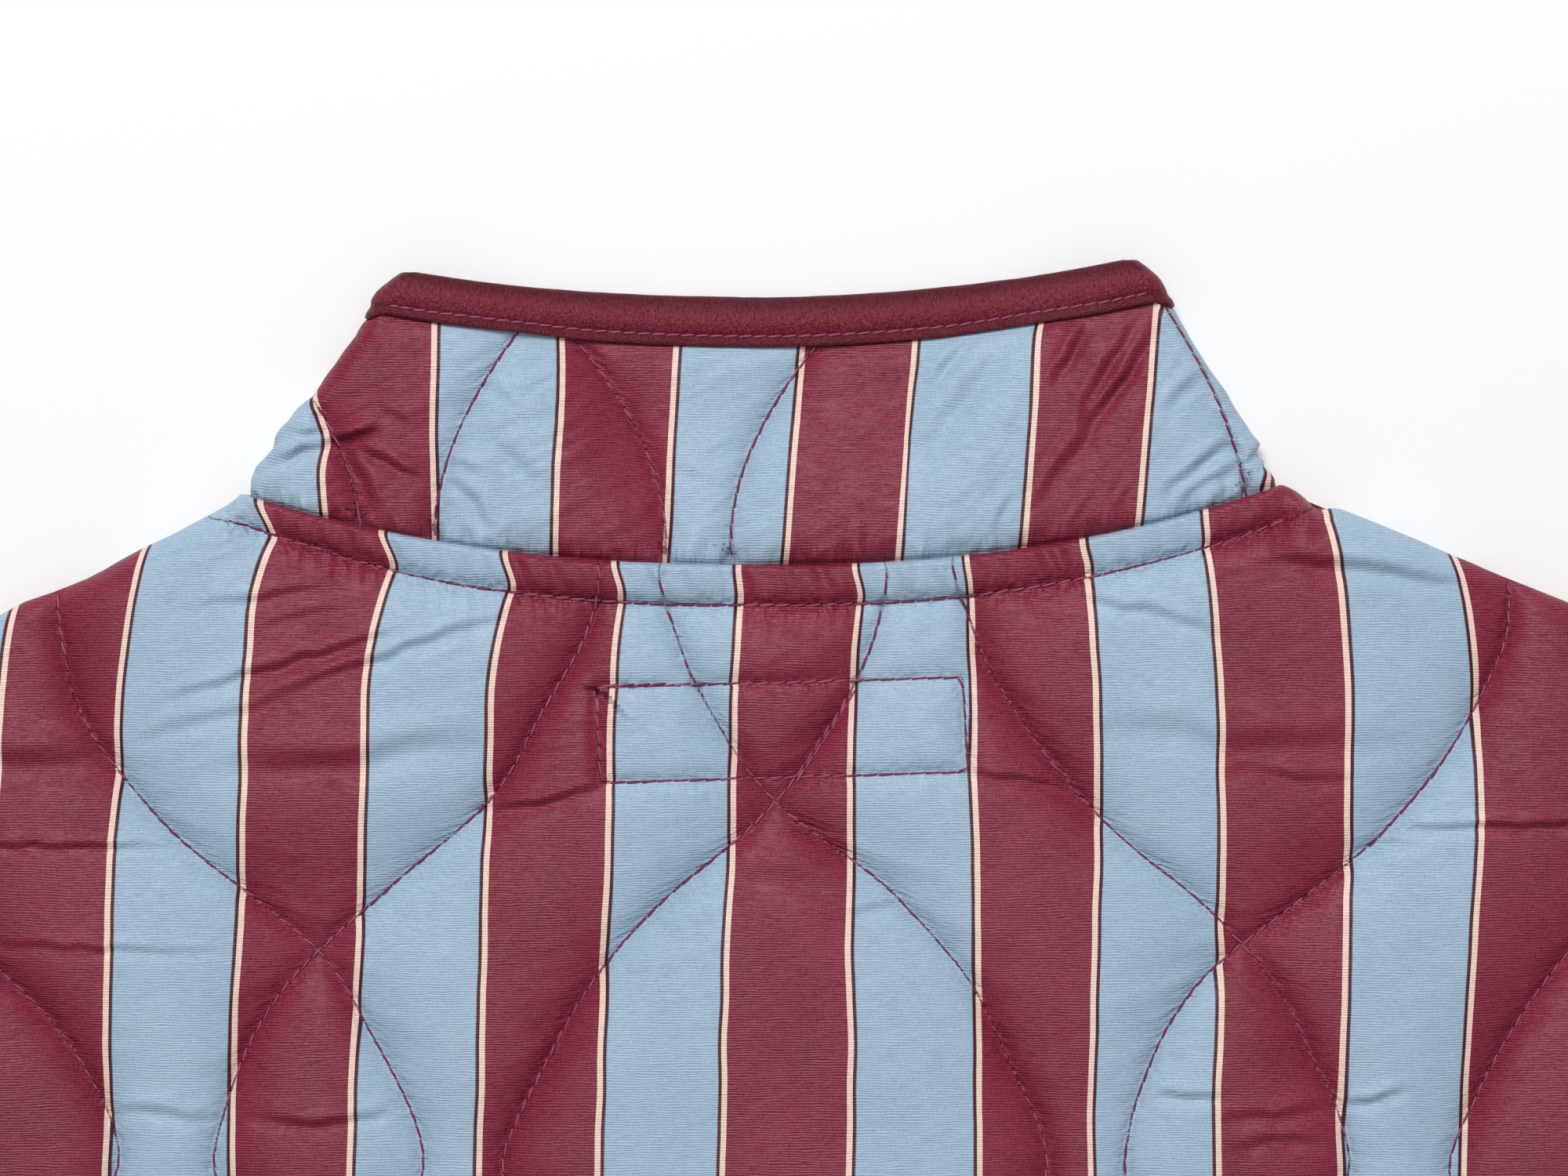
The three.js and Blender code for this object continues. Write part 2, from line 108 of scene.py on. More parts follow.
# %% Lamp and room light
LAMP_PLACE = Vector((-0.25, 1.55, 2.25))  # metres
LAMP_SIZE, LAMP_POWER = 1.3, 60
ROOM_LIGHT = 0.30

lamp_data = bpy.data.lights.new("key_lamp", "AREA")
lamp_data.size, lamp_data.energy = LAMP_SIZE, LAMP_POWER
lamp = bpy.data.objects.new("key_lamp", lamp_data)
lamp.location = LAMP_PLACE
lamp.rotation_euler = (ORIGIN - LAMP_PLACE).to_track_quat("-Z", "Y").to_euler()
lamp.visible_camera = False
bpy.context.collection.objects.link(lamp)

world = bpy.data.worlds.new("room")
world.use_nodes = True
sky = world.node_tree.nodes["Background"]
sky.inputs["Color"].default_value = (1, 1, 1, 1)
sky.inputs["Strength"].default_value = ROOM_LIGHT
bpy.context.scene.world = world
bpy.context.scene.view_settings.view_transform = "Standard"
print("a lamp of", LAMP_POWER, "W stands", round((ORIGIN - LAMP_PLACE).length, 2), "m from the neck")

# %% Floor
FLOOR_SIZE = 6
FLOOR_DROP = 0.2 * MM  # keeps the floor clear of the cloth's underside

floor_mesh = bpy.data.meshes.new("floor")
floor_bm = bmesh.new()
bmesh.ops.create_grid(floor_bm, x_segments=1, y_segments=1, size=FLOOR_SIZE)
bmesh.ops.translate(floor_bm, verts=floor_bm.verts, vec=(0, 0, -FLOOR_DROP))
floor_bm.to_mesh(floor_mesh)
floor_bm.free()
floor = bpy.data.objects.new("floor", floor_mesh)
bpy.context.collection.objects.link(floor)

# %% [markdown]
# ## Shader maths
#
# A material is a network of nodes. Written as nodes, "the mask less one, times two" takes two
# of them and their links, so a small class wraps a socket and adds a Math node for each sum
# that Python meets.

# %% A socket that can be calculated with
class Value:
    """One output socket of a material. A sum on it adds the Math node that works it out."""

    def __init__(self, finish, socket):
        self.finish, self.socket = finish, socket

    def math(self, operation, *others):
        return self.finish.node("ShaderNodeMath", self, *others, operation=operation)

    def __add__(self, other):
        return self.math("ADD", other)

    __radd__ = __add__

    def __sub__(self, other):
        return self.math("SUBTRACT", other)

    def __mul__(self, other):
        return self.math("MULTIPLY", other)

    def __truediv__(self, other):
        return self.math("DIVIDE", other)

    def __mod__(self, other):
        return self.math("FLOORED_MODULO", other)

    def __abs__(self):
        return self.math("ABSOLUTE")

    def smaller(self, other):
        return self.math("MINIMUM", other)

    def bigger(self, other):
        return self.math("MAXIMUM", other)

    def fade(self, start, end):
        """Goes smoothly from 0 where the value is start to 1 where it is end."""
        return self.finish.node("ShaderNodeMapRange", self, start, end, interpolation_type="SMOOTHSTEP")


# %% A material and its nodes
class Finish:
    """A material, and the means to add nodes to it."""

    def __init__(self, name):
        self.material = bpy.data.materials.new(name)
        self.material.use_nodes = True
        self.tree = self.material.node_tree
        self.surface = self.tree.nodes["Principled BSDF"]

    def node(self, kind, *inputs, output=0, named=None, **settings):
        """Adds a node. Its settings are set first, then inputs in order and named ones by name."""
        node = self.tree.nodes.new(kind)
        for key, setting in settings.items():
            setattr(node, key, setting)
        for place, value in [*enumerate(inputs), *(named or {}).items()]:
            self.join(value, node.inputs[place])
        return Value(self, node.outputs[output])

    def join(self, value, socket):
        if isinstance(value, Value):
            self.tree.links.new(value.socket, socket)
        else:
            size = len(socket.default_value) if hasattr(socket.default_value, "__len__") else 0
            socket.default_value = (*value, 1) if size == 4 else value

    def mix(self, share, first, second):
        """Goes from the first colour to the second as share goes from 0 to 1."""
        named = {0: share, 6: first, 7: second}
        return self.node("ShaderNodeMix", named=named, output=2, data_type="RGBA")

    def noise(self, vector, scale, detail=2.0, roughness=0.5):
        named = {"Vector": vector, "Scale": scale, "Detail": detail, "Roughness": roughness}
        return self.node("ShaderNodeTexNoise", named=named)

    def attribute(self, name):
        return self.node("ShaderNodeAttribute", attribute_name=name, output=2)

    def bump(self, height, distance, strength, **below):
        """A bump of so many metres. Normal, where given, is the bump that it lies on."""
        named = {"Height": height, "Distance": distance, "Strength": strength, **below}
        return self.node("ShaderNodeBump", named=named)

    def set(self, **sockets):
        """Sets or links sockets of the surface. An underscore in a name stands for a space."""
        for name, value in sockets.items():
            self.join(value, self.surface.inputs[name.replace("_", " ")])
        print("finish", self.material.name, "has", len(self.tree.nodes), "nodes")
        return self.material


floor_finish = Finish("studio_floor")
floor.data.materials.append(floor_finish.set(Base_Color=(0.93, 0.93, 0.93), Roughness=0.9))

# %% [markdown]
# ## The striped satin
#
# The stripes are woven: burgundy, a cream line, a thin dark line, light blue, and back again.
# They belong to the cloth and not to its place in the room, so the material reads the
# cloth's own map, laid on each piece in metres of cloth: U across the stripes and V along
# them. The satin's fine ribs run across the stripes, and noise stretched along U breaks
# them up. A groove follows the stitched lines, with small tucks beside it. The groove is
# bumped in, and its shade is painted darker into the colour.

# %% Places on the cloth
def cloth_places(finish):
    """The cloth's map in millimetres, as (u, v) values and as one vector."""
    uv = finish.node("ShaderNodeUVMap", uv_map="cloth")
    in_mm = finish.node("ShaderNodeVectorMath", uv, (1000, 1000, 1000), operation="MULTIPLY")
    u = finish.node("ShaderNodeSeparateXYZ", in_mm)
    v = Value(finish, u.socket.node.outputs[1])
    return u, v, in_mm


def grain(finish, cloth, across, along, detail=2, roughness=0.5, turned=0.0):
    """Noise whose grain is across by along millimetres on the cloth's map."""
    named = {"Vector": cloth, "Scale": (1 / across, 1 / along, 1), "Rotation": (0, 0, turned)}
    return finish.noise(finish.node("ShaderNodeMapping", named=named), 1, detail, roughness)


# %% Striped satin
REPEAT = 50.3  # of the stripes
BURGUNDY_WIDTH = 23.9  # between the middles of the cream lines beside a burgundy stripe
CREAM_HALF = 0.58
DARK_WIDTH = 0.78
EDGE = 0.07  # half of the border between two colours
RIB_PITCH = 0.52
RIB_HEIGHT, TUCK_HEIGHT = 0.13 * MM, 1.1 * MM
# The groove under a row of stitches: its half width, and how far its painted shade darkens the colour towards
# DARK
GROOVE_HALF, GROOVE_PAINTED_SHADE = 0.3, 0.42
# The deep and the full tone of each colour span the weave's own rib and twill tone, and their wide range also
# stands for painted shade and painted highlight on the ribs
BURGUNDY, BURGUNDY_DEEP = (0.328, 0.041, 0.084), (0.098, 0.003, 0.013)
BLUE, BLUE_DEEP = (0.440, 0.567, 0.688), (0.243, 0.357, 0.490)
CREAM, CREAM_DEEP, DARK = (0.98, 0.76, 0.66), (0.68, 0.48, 0.40), (0.066, 0.015, 0.025)


def ribbed(finish, v, cloth):
    """The satin's ribs and their unevenness, about 0 to 1."""
    bend = grain(finish, cloth, 7, 2.5)
    wave = finish.node("ShaderNodeMath", (v / RIB_PITCH + bend * 1.6) * (2 * math.pi), operation="SINE")
    streaks = grain(finish, cloth, 2.4, 0.3, roughness=0.6)
    faint = grain(finish, cloth, 5, 5, detail=1)
    return wave * (faint * 0.5 + 0.05) + (streaks - 0.5) + 0.5


def striped(finish, u, shade):
    """The stripes' colour. shade goes from the deep to the full tone of each, partly the weave's own tone and
    partly painted shade and highlight on the ribs.
    """
    in_repeat = u % REPEAT
    from_first = (in_repeat + REPEAT / 2) % REPEAT - REPEAT / 2
    from_second = in_repeat - BURGUNDY_WIDTH
    inside = from_second.bigger(from_first * -1)
    is_blue = inside.fade(CREAM_HALF - EDGE, CREAM_HALF + EDGE)
    nearest = abs(from_first).smaller(abs(from_second))
    is_cream = nearest.fade(CREAM_HALF + EDGE, CREAM_HALF - EDGE)
    is_dark = nearest.fade(CREAM_HALF + DARK_WIDTH + 0.12, CREAM_HALF + DARK_WIDTH - 0.2) * is_blue
    burgundy, blue = finish.mix(shade, BURGUNDY_DEEP, BURGUNDY), finish.mix(shade, BLUE_DEEP, BLUE)
    colour = finish.mix(is_dark, finish.mix(is_blue, burgundy, blue), DARK)
    return finish.mix(is_cream, colour, finish.mix(shade, CREAM_DEEP, CREAM))


def striped_satin():
    finish = Finish("striped_satin")
    u, v, cloth = cloth_places(finish)
    u = u + (grain(finish, cloth, 9, 14, detail=1) - 0.5) * 0.25
    ribs = ribbed(finish, v, cloth)
    twill = grain(finish, cloth, 0.35, 1.1, detail=1, turned=0.9)
    cloudy = grain(finish, cloth, 22, 30)
    # the ribs' tone in the colour is partly the weave's own and partly painted shade and highlight
    shade = (ribs - 0.5) * 0.95 + (twill - 0.5) * 0.8 + (cloudy - 0.5) * 0.4 + 0.5
    seam, run, near = (finish.attribute(name) for name in ("seam", "run", "near"))
    # painted shade: the colour darkens towards DARK in the groove along each row of stitches
    groove = abs(seam).fade(GROOVE_HALF, 0.02)
    beside = finish.node("ShaderNodeCombineXYZ", run / 2.1, seam / 2.0, 0.0)
    tucks = (finish.noise(beside, 1, 1.0, 0.6) - 0.5) * near
    tucked = finish.bump(tucks, TUCK_HEIGHT, 1.0)
    return finish.set(
        Base_Color=finish.mix(groove * GROOVE_PAINTED_SHADE, striped(finish, u, shade), DARK),
        Roughness=0.40 + (ribs - 0.5) * 0.15,
        Normal=finish.bump(ribs + twill * 0.4 - groove * 2.0, RIB_HEIGHT, 0.8, Normal=tucked),
        Specular_IOR_Level=0.25,
        Sheen_Weight=0.02,
        Sheen_Roughness=0.35,
    )


satin = striped_satin()

# %% [markdown]
# ## The binding and the thread
#
# The binding is a satin tape cut from plain burgundy cloth, shinier and darker than the
# stripes. Painted shade darkens its colour at its rounded edge, below its row of stitches and at
# its lower edge. The thread is a magenta polyester twist, lightened by a painted highlight where
# it lies on a burgundy stripe or on a binding. Each stitch dives into its own hole, and the shade
# in the hole is painted on the thread's ends through an attribute called "depth".

# %% Satin tape
TAPE_DEEP, TAPE, TAPE_SHADOW = (0.080, 0.006, 0.015), (0.240, 0.030, 0.052), (0.045, 0.003, 0.009)
TAPE_TEXTURE = 0.3 * MM


def satin_tape():
    """The tape's own map gives millimetres from its lower edge as V."""
    finish = Finish("satin_tape")
    v, cloth = cloth_places(finish)[1:]
    ribs = grain(finish, cloth, 0.4, 1.3, roughness=0.6, turned=0.12)
    twill = grain(finish, cloth, 0.7, 0.5, turned=-0.5)
    shade = (ribs - 0.5) * 2.2 + (twill - 0.5) * 1.3 + 0.5
    # Painted shade: the tape's colour is darkened towards its shadow colour at its rounded top edge, over its
    # lower part up to just above the stitches, and at its lower edge
    round_edge, below_stitches, lower_edge = v.fade(6.6, 9.0), v.fade(3.9, 3.0), v.fade(1.2, 0.2)
    shadow = round_edge.bigger(below_stitches * 0.8).bigger(lower_edge)
    return finish.set(
        Base_Color=finish.mix(shadow * 0.62, finish.mix(shade, TAPE_DEEP, TAPE), TAPE_SHADOW),
        Roughness=0.40 + (ribs - 0.5) * 0.2,
        Normal=finish.bump(ribs + twill * 1.5, TAPE_TEXTURE, 0.8),
        Specular_IOR_Level=0.24,
        Specular_Tint=(1.0, 0.6, 0.65),
    )


tape = satin_tape()

# %% Thread
# The last colour is both the darker tone of the thread's fibres and the painted shade where each stitch dives
# into its hole
THREAD, THREAD_SHINE, THREAD_FIBRE_AND_HOLE_SHADE = (0.215, 0.020, 0.085), (0.50, 0.15, 0.22), (0.060, 0.008, 0.022)
FIBRES = 9000  # to the metre


def sewing_thread():
    finish = Finish("sewing_thread")
    fibres = finish.noise(finish.node("ShaderNodeTexCoord", output=3), FIBRES, 1)
    # Painted highlight: where the "shine" number is high the thread's colour is lightened towards its
    # highlight colour
    colour = finish.mix(finish.attribute("shine"), THREAD, THREAD_SHINE)
    colour = finish.mix((fibres - 0.3) * 0.5, colour, THREAD_FIBRE_AND_HOLE_SHADE)
    # Painted shade: the "depth" number darkens the thread's ends, where they dive into their holes
    colour = finish.mix(finish.attribute("depth"), colour, THREAD_FIBRE_AND_HOLE_SHADE)
    return finish.set(Base_Color=colour, Roughness=0.5, Specular_IOR_Level=0.25)


thread = sewing_thread()

# %% [markdown]
# ## Uneven, but the same each time
#
# Puckers, creases and edges need a smooth unevenness. "wander" gives a number between -1 and
# 1 that changes about once in each unit of x and y, from a fixed table, so that every run
# makes the same jacket. Two more shapes are used again and again: one that fades away from a
# line, and one like a hill.

# %% Smooth unevenness
TABLE = np.random.default_rng(11).uniform(-1, 1, (256, 256))


def smooth(x, start, end):
    """Goes smoothly from 0 at start to 1 at end."""
    share = np.clip((x - start) / (end - start), 0, 1)
    return share * share * (3 - 2 * share)


def blend(first, second, share):
    return first + (second - first) * share


def fading(distance, length):
    """1 where the distance is 0 or less, and less and less beyond it."""
    return np.exp(-np.maximum(distance, 0) / length)


def hill(x, middle, width):
    return np.exp(-(((x - middle) / width) ** 2))


def wander(x, y=0.0, seed=0):
    x, y = np.broadcast_arrays(np.asarray(x, float) + 37.7 * seed, np.asarray(y, float) + 11.3 * seed)
    i, j = np.floor(x).astype(int), np.floor(y).astype(int)
    f, g = smooth(x - i, 0, 1), smooth(y - j, 0, 1)
    low = blend(TABLE[i % 256, j % 256], TABLE[(i + 1) % 256, j % 256], f)
    high = blend(TABLE[i % 256, (j + 1) % 256], TABLE[(i + 1) % 256, (j + 1) % 256], f)
    return blend(low, high, g)


def uneven(x, y, *waves):
    """Adds up waves, each with its size, its lengths along x and y in millimetres and its seed."""
    return sum(size * wander(x / across, y / along, seed) for size, across, along, seed in waves)


def looked_up(table, where):
    """The columns of a table after its first one, at places between its rows."""
    first, *others = np.transpose(table)
    return [np.interp(where, first, column) for column in others]


print("along 5 mm of a slow wave:", np.round(wander(np.arange(6) / 5), 2))


# %% [markdown]
# ## Rows of stitches
#
# Quilting holds the layers together along lines, and the wadding puffs up between them. The
# lines here are waves that run up and down the jacket, in pairs that swing towards each other
# and cross, which leaves onion-shaped cells. Each line is a small object that can say how far
# a place is from it, and where its stitches go.

# %% Lines that can be measured from
class StitchLine:
    """A row of stitches along a smooth path of closely spaced places.

    hold is how fully it pins the cloth down, reach how far its effect goes, pucker the size
    of the gathers beside it, gather the length of one, pinch the dip at each stitch and tuck
    the strength of the finest folds.
    """

    def __init__(self, path, hold=1.0, reach=8.0, pucker=0.4, gather=4.6, pinch=0.16, tuck=1.0):
        self.path = np.asarray(path, float)
        steps = np.hypot(*np.diff(self.path, axis=0).T)
        self.along = np.concatenate([[0], np.cumsum(steps)])
        self.hold, self.reach = hold, reach
        self.pucker, self.gather, self.pinch, self.tuck = pucker, gather, pinch, tuck

    def at(self, length):
        """The places at these lengths along the line."""
        return np.stack([np.interp(length, self.along, self.path[:, k]) for k in (0, 1)], -1)


class Wave(StitchLine):
    """A quilting line that swings to and fro as it runs down the cloth from high to low.

    chart gives places, from the top down, where a sewn line strays from the even wave.
    """

    def __init__(self, centre, swing, top, half_wave, low, high, chart=None, **rest):
        y = np.arange(high, low, -1.0)
        x = centre + swing * np.sin((top - y) * math.pi / half_wave)
        if chart:
            x = x + self.strays(x, y, *np.array(chart, float).T)
        self.down, self.x, self.slope = -y, x, np.gradient(x)
        super().__init__(np.stack([x, y], -1), **rest)

    @staticmethod
    def strays(x, y, chart_x, chart_y, smoothed_over=9, back_to_even=70):
        stray = np.interp(-y, -chart_y, chart_x - np.interp(-chart_y, -y, x))
        stray = stray * smooth(y, chart_y[-1] - back_to_even, chart_y[-1])
        padded = np.pad(stray, smoothed_over // 2, mode="edge")
        return np.convolve(padded, np.full(smoothed_over, 1 / smoothed_over), mode="valid")

    def measure(self, x, y):
        """Distance from the line, positive on its right, and length along it."""
        slope = np.interp(-y, self.down, self.slope)
        lean = np.hypot(1, slope)
        across = (x - np.interp(-y, self.down, self.x)) / lean
        return across, np.interp(-(y + across * slope / lean), self.down, self.along)


class Across(StitchLine):
    """A line from left to right, with its height given by a function of x."""

    def __init__(self, height, left, right, **rest):
        self.height = height
        x = np.arange(left, right, 1.0)
        super().__init__(np.stack([x, height(x)], -1), **rest)

    def measure(self, x, y):
        slope = self.height(x + 0.5) - self.height(x - 0.5)
        return (y - self.height(x)) / np.hypot(1, slope), np.interp(x, self.path[:, 0], self.along)


def beside_path(path, x, y):
    """Distance to a path, how far left of its way, the length along it, and its whole length."""
    gap, left, along = np.full_like(x, 1e9), np.zeros_like(x), np.zeros_like(x)
    passed = 0.0
    for start, end in zip(path, path[1:]):
        length = np.hypot(*(end - start))
        way = (end - start) / length
        dx, dy = x - start[0], y - start[1]
        share = np.clip(dx * way[0] + dy * way[1], 0, length)
        here = np.hypot(dx - share * way[0], dy - share * way[1])
        closer = here < gap
        gap = np.where(closer, here, gap)
        left = np.where(closer, dy * way[0] - dx * way[1], left)
        along = np.where(closer, passed + share, along)
        passed += length
    return gap, left, along, passed


class Box(StitchLine):
    """A closed line round a box with four corners, given in turn, clockwise."""

    def __init__(self, corners, **rest):
        self.ring = np.array([*corners, corners[0]], float)
        sides = [np.linspace(a, b, 40)[:-1] for a, b in zip(self.ring, self.ring[1:])]
        super().__init__(np.vstack([*sides, self.ring[-1:]]), **rest)

    def measure(self, x, y):
        gap, _, along, _ = beside_path(self.ring, x, y)
        inside = np.ones_like(x, dtype=bool)
        for start, end in zip(self.ring, self.ring[1:]):
            way = end - start
            inside &= (x - start[0]) * way[1] - (y - start[1]) * way[0] > 0
        return np.where(inside, -gap, gap), along


# %% [markdown]
# ## How quilted cloth rises
#
# Away from a stitched line the cloth rises steeply at first and then levels off. Where two
# lines run close together their effects multiply, so narrow places stay low with no ridge
# between them. The thread is a little tight, so the cloth beside it gathers in small puckers
# square to the line, which fade out over a few millimetres and differ on its two sides.
#
# Three numbers at each corner of the mesh let the satin's material add what is finer than the
# mesh can be. "seam" is zero on the stitched lines, for a groove under the thread, which is
# bumped in and has painted shade in its colour. "run" is the length along the nearest line and
# "near" fades away from it, for small tucks.

# %% Relief
STITCHED = -0.7  # the outer face at a stitch, from the middle of the layer
PUFF = 5.4  # how much higher it rises between the lines
STEEP_SHARE, STEEP_REACH = 0.3, 1.3  # of the rise, right beside the thread
GRIP_REACH, PUCKER_REACH, LONG_PUCKER_REACH, PINCH_REACH = 0.9, 3.2, 7.5, 1.7
STITCH_PITCH = 3.2


def relief(x, y, lines, puff=PUFF, seed=0):
    """Height of the outer face above the stitched level, in millimetres."""
    rise, gathers = np.ones_like(x), np.zeros_like(x)
    for number, line in enumerate(lines):
        off, along = line.measure(x, y)
        away, side = np.abs(off), np.where(off > 0, 1.0, 0.0)
        gentle, steep = (1 - STEEP_SHARE) * fading(away, line.reach), STEEP_SHARE * fading(away, STEEP_REACH)
        rise = rise * (1 - line.hold * (gentle + steep))
        mark = seed * 50 + number * 7.0
        short = wander(along / line.gather, side * 5 + 0.3 * away / line.gather, mark)
        long = wander(along / (line.gather * 2.1), side * 9, mark + 3)
        short_fade = fading(away, PUCKER_REACH + 1.8 * wander(along / 9, side * 3, mark + 1))
        puckers = short * short_fade + 0.8 * long * fading(away, LONG_PUCKER_REACH)
        gathers = gathers + line.pucker * (1 - fading(away, GRIP_REACH)) * puckers
        dips = np.cos(along / STITCH_PITCH * 2 * np.pi) * (0.6 + 0.4 * wander(along / 11, side * 6, mark + 5))
        gathers = gathers - line.pinch * dips * fading(away, PINCH_REACH)
    return puff * rise + gathers


def seam_numbers(x, y, lines):
    """The numbers "seam", "run" and "near" for places beside stitched lines."""
    product, run, tuck = np.full_like(x, 3.0), np.zeros_like(x), np.zeros_like(x)
    nearest, second = np.full_like(x, 900.0), np.full_like(x, 999.0)
    for number, line in enumerate(lines):
        off, along = line.measure(x, y)
        away = np.abs(off)
        product = product * np.tanh(off / 3)
        run = np.where(away < nearest, along + 900 * number, run)
        tuck = np.where(away < nearest, line.tuck, tuck)
        second = np.minimum(second, np.maximum(away, nearest))
        nearest = np.minimum(nearest, away)
    near = tuck * fading(nearest, 1.8) * smooth(second - nearest, 1.2, 5)
    return {"seam": product, "run": run, "near": near}


def jogs(x, y, lines, size=0.45):
    """How far the stripes are pulled sideways beside stitched lines."""
    shift = np.zeros_like(x)
    for number, line in enumerate(lines):
        off, along = line.measure(x, y)
        side = np.where(off > 0, 1.0, 0.0)
        shift = shift + size * wander(along / 14, side * 4, number * 3 + 70) * fading(np.abs(off), 2.2)
    return shift


# %% Ripples and creases
def ripples(x, y, angle, seed):
    """Fine ridges that slant at an angle, as cloth has where it is pulled on the bias."""
    way_x, way_y = math.cos(math.radians(angle)), math.sin(math.radians(angle))
    along, across = x * way_x + y * way_y, y * way_x - x * way_y
    return wander(along / 9, across / 1.3 + 0.6 * wander(along / 12, across / 9, seed), seed + 1)


class Crease:
    """A soft trough along a path from left to right, with the cloth heaped up above it."""

    def __init__(self, path, width, depth):
        self.path = np.array(path, float)
        self.width, self.depth = width, depth

    def height(self, x, y):
        gap, off, along, length = beside_path(self.path, x, y)
        beyond = np.sqrt(np.maximum(gap**2 - off**2, 0))
        size = np.sin(np.pi * np.clip(along / length, 0.02, 0.98)) ** 0.6 * fading(beyond, self.width)
        bend = off + self.width * 0.5 * wander(along / (self.width * 3.5), 0, self.depth * 9)
        ridge = hill(bend, 1.4 * self.width, 1.2 * self.width)
        return 1.6 * self.depth * size * (0.7 * ridge - hill(bend, 0, self.width))


def creased(x, y, creases):
    return sum((crease.height(x, y) for crease in creases), np.zeros_like(x))


print("between its seams the cloth rises", PUFF, "mm above the stitches")


# %% [markdown]
# ## From a flat grid to a piece of cloth
#
# Every piece starts as a plain grid from bmesh. A corner's place in the grid says which
# column and row it is in, and a piece's own function turns column and row into a place on the
# jacket. Where the cloth is seen closely the grid is cut finer first. The back and the fronts
# then get a rim and one large flat inner face. The other pieces get their thickness from a
# Solidify modifier.

# %% Columns and rows
def spread(start, end, step):
    """Evenly spaced numbers about a step apart."""
    return np.linspace(start, end, max(2, int(round(abs(end - start) / step)) + 1))


def in_turn(*stretches):
    """Stretches of numbers, each of which starts where the one before it ends."""
    first, *others = [spread(*stretch) for stretch in stretches]
    return np.concatenate([first, *(other[1:] for other in others)])


def both_ways(half):
    """The numbers of a half that starts at 0, and before them the same below 0."""
    return np.concatenate([-half[:0:-1], half])


# %% Grid builder
def in_frame(points):
    """Takes places in millimetres from the neck seam to metres in the frame."""
    return points * MM + np.array(ORIGIN)


def on_floor(points):
    """Lifts what would sink through the floor, so that it lies flat on it."""
    return np.column_stack([points[:, :2], np.maximum(points[:, 2], 0)])


def set_numbers(mesh, **numbers):
    """Gives the corners of a mesh named numbers, which its material reads."""
    for name, values in numbers.items():
        mesh.attributes.new(name, "FLOAT", "POINT").data.foreach_set("value", values)


def cloth_grid(columns, rows, surface, fine=None, cuts=0, lining=None):
    """A mesh from a grid. surface turns column and row values into a dictionary with
    points and cloth, its map, in millimetres, and any attributes.

    fine says which cells are cut finer. lining gives the height of the inner face from the
    points of the rim, and closes the piece with it.
    """
    across, up = len(columns) - 1, len(rows) - 1

    def values_at(x, y):
        return np.interp(x, range(across + 1), columns), np.interp(y, range(up + 1), rows)

    bm = bmesh.new()
    bmesh.ops.create_grid(bm, x_segments=across, y_segments=up, size=0.5)
    bmesh.ops.translate(bm, verts=bm.verts, vec=(0.5, 0.5, 0))
    bmesh.ops.scale(bm, verts=bm.verts, vec=(across, up, 1))
    if fine:
        chosen = [face for face in bm.faces if fine(*values_at(*face.calc_center_median().xy))]
        edges = list({edge for face in chosen for edge in face.edges})
        bmesh.ops.subdivide_edges(bm, edges=edges, cuts=cuts, use_grid_fill=True)
    if lining:
        rim = [edge for edge in bm.edges if edge.is_boundary]
        turned = bmesh.ops.extrude_edge_only(bm, edges=rim)["geom"]
        low = [part for part in turned if isinstance(part, bmesh.types.BMVert)]
        bmesh.ops.translate(bm, verts=low, vec=(0, 0, -1))
        bmesh.ops.contextual_create(bm, geom=[edge for edge in bm.edges if edge.is_boundary])
    mesh = bpy.data.meshes.new("cloth")
    bm.to_mesh(mesh)
    bm.free()

    corners = np.empty(len(mesh.vertices) * 3)
    mesh.vertices.foreach_get("co", corners)
    x, y, z = corners.reshape(-1, 3).T
    made = surface(*values_at(x, y))
    points, cloth = made.pop("points").copy(), made.pop("cloth")
    if lining:
        low = z < -0.5
        points[low, 2] = lining(points[low])
    mesh.vertices.foreach_set("co", in_frame(points).ravel())
    corner_of = np.empty(len(mesh.loops), dtype=np.int32)
    mesh.loops.foreach_get("vertex_index", corner_of)
    mesh.uv_layers.new(name="cloth").data.foreach_set("uv", (cloth * MM)[corner_of].ravel())
    set_numbers(mesh, **made)
    mesh.update()
    return mesh


# %% From a mesh to a piece
MEETING = 2e-6  # metres within which corners are joined
CLOTH_WALL, TAPE_WALL = 1.4, 0.6


def tidy_up(mesh, join=False):
    """Joins corners that meet, where asked, and turns every face outwards."""
    bm = bmesh.new()
    bm.from_mesh(mesh)
    if join:
        bmesh.ops.remove_doubles(bm, verts=bm.verts, dist=MEETING)
    bmesh.ops.recalc_face_normals(bm, faces=bm.faces)
    bm.to_mesh(mesh)
    bm.free()
    return mesh


def turn_faces(mesh):
    """Turns the faces of an open sheet together, so that its highest ones look up."""
    highest = sorted(mesh.polygons, key=lambda face: face.center.z)[-len(mesh.polygons) // 10 :]
    if sum(face.normal.z for face in highest) < 0:
        mesh.flip_normals()
    return mesh


def show(mesh, name, material, node=None, thickness=None):
    """Puts a mesh in the scene as a piece, which may stand for a CAD node."""
    mesh.name = name
    mesh.materials.append(material)
    mesh.shade_smooth()
    piece = bpy.data.objects.new(name, mesh)
    bpy.context.collection.objects.link(piece)
    if thickness:
        wall = piece.modifiers.new("wall", "SOLIDIFY")
        wall.thickness, wall.offset = thickness * MM, -1
    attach(piece, "root")
    if node:
        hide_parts(node)
    triangles = sum(len(face.vertices) - 2 for face in mesh.polygons)
    print(name, "has", triangles, "triangles before its modifiers")
    return piece


def show_quilted(mesh, node, thickness=None):
    return show(mesh, f"quilted_{node}", satin, node, thickness)


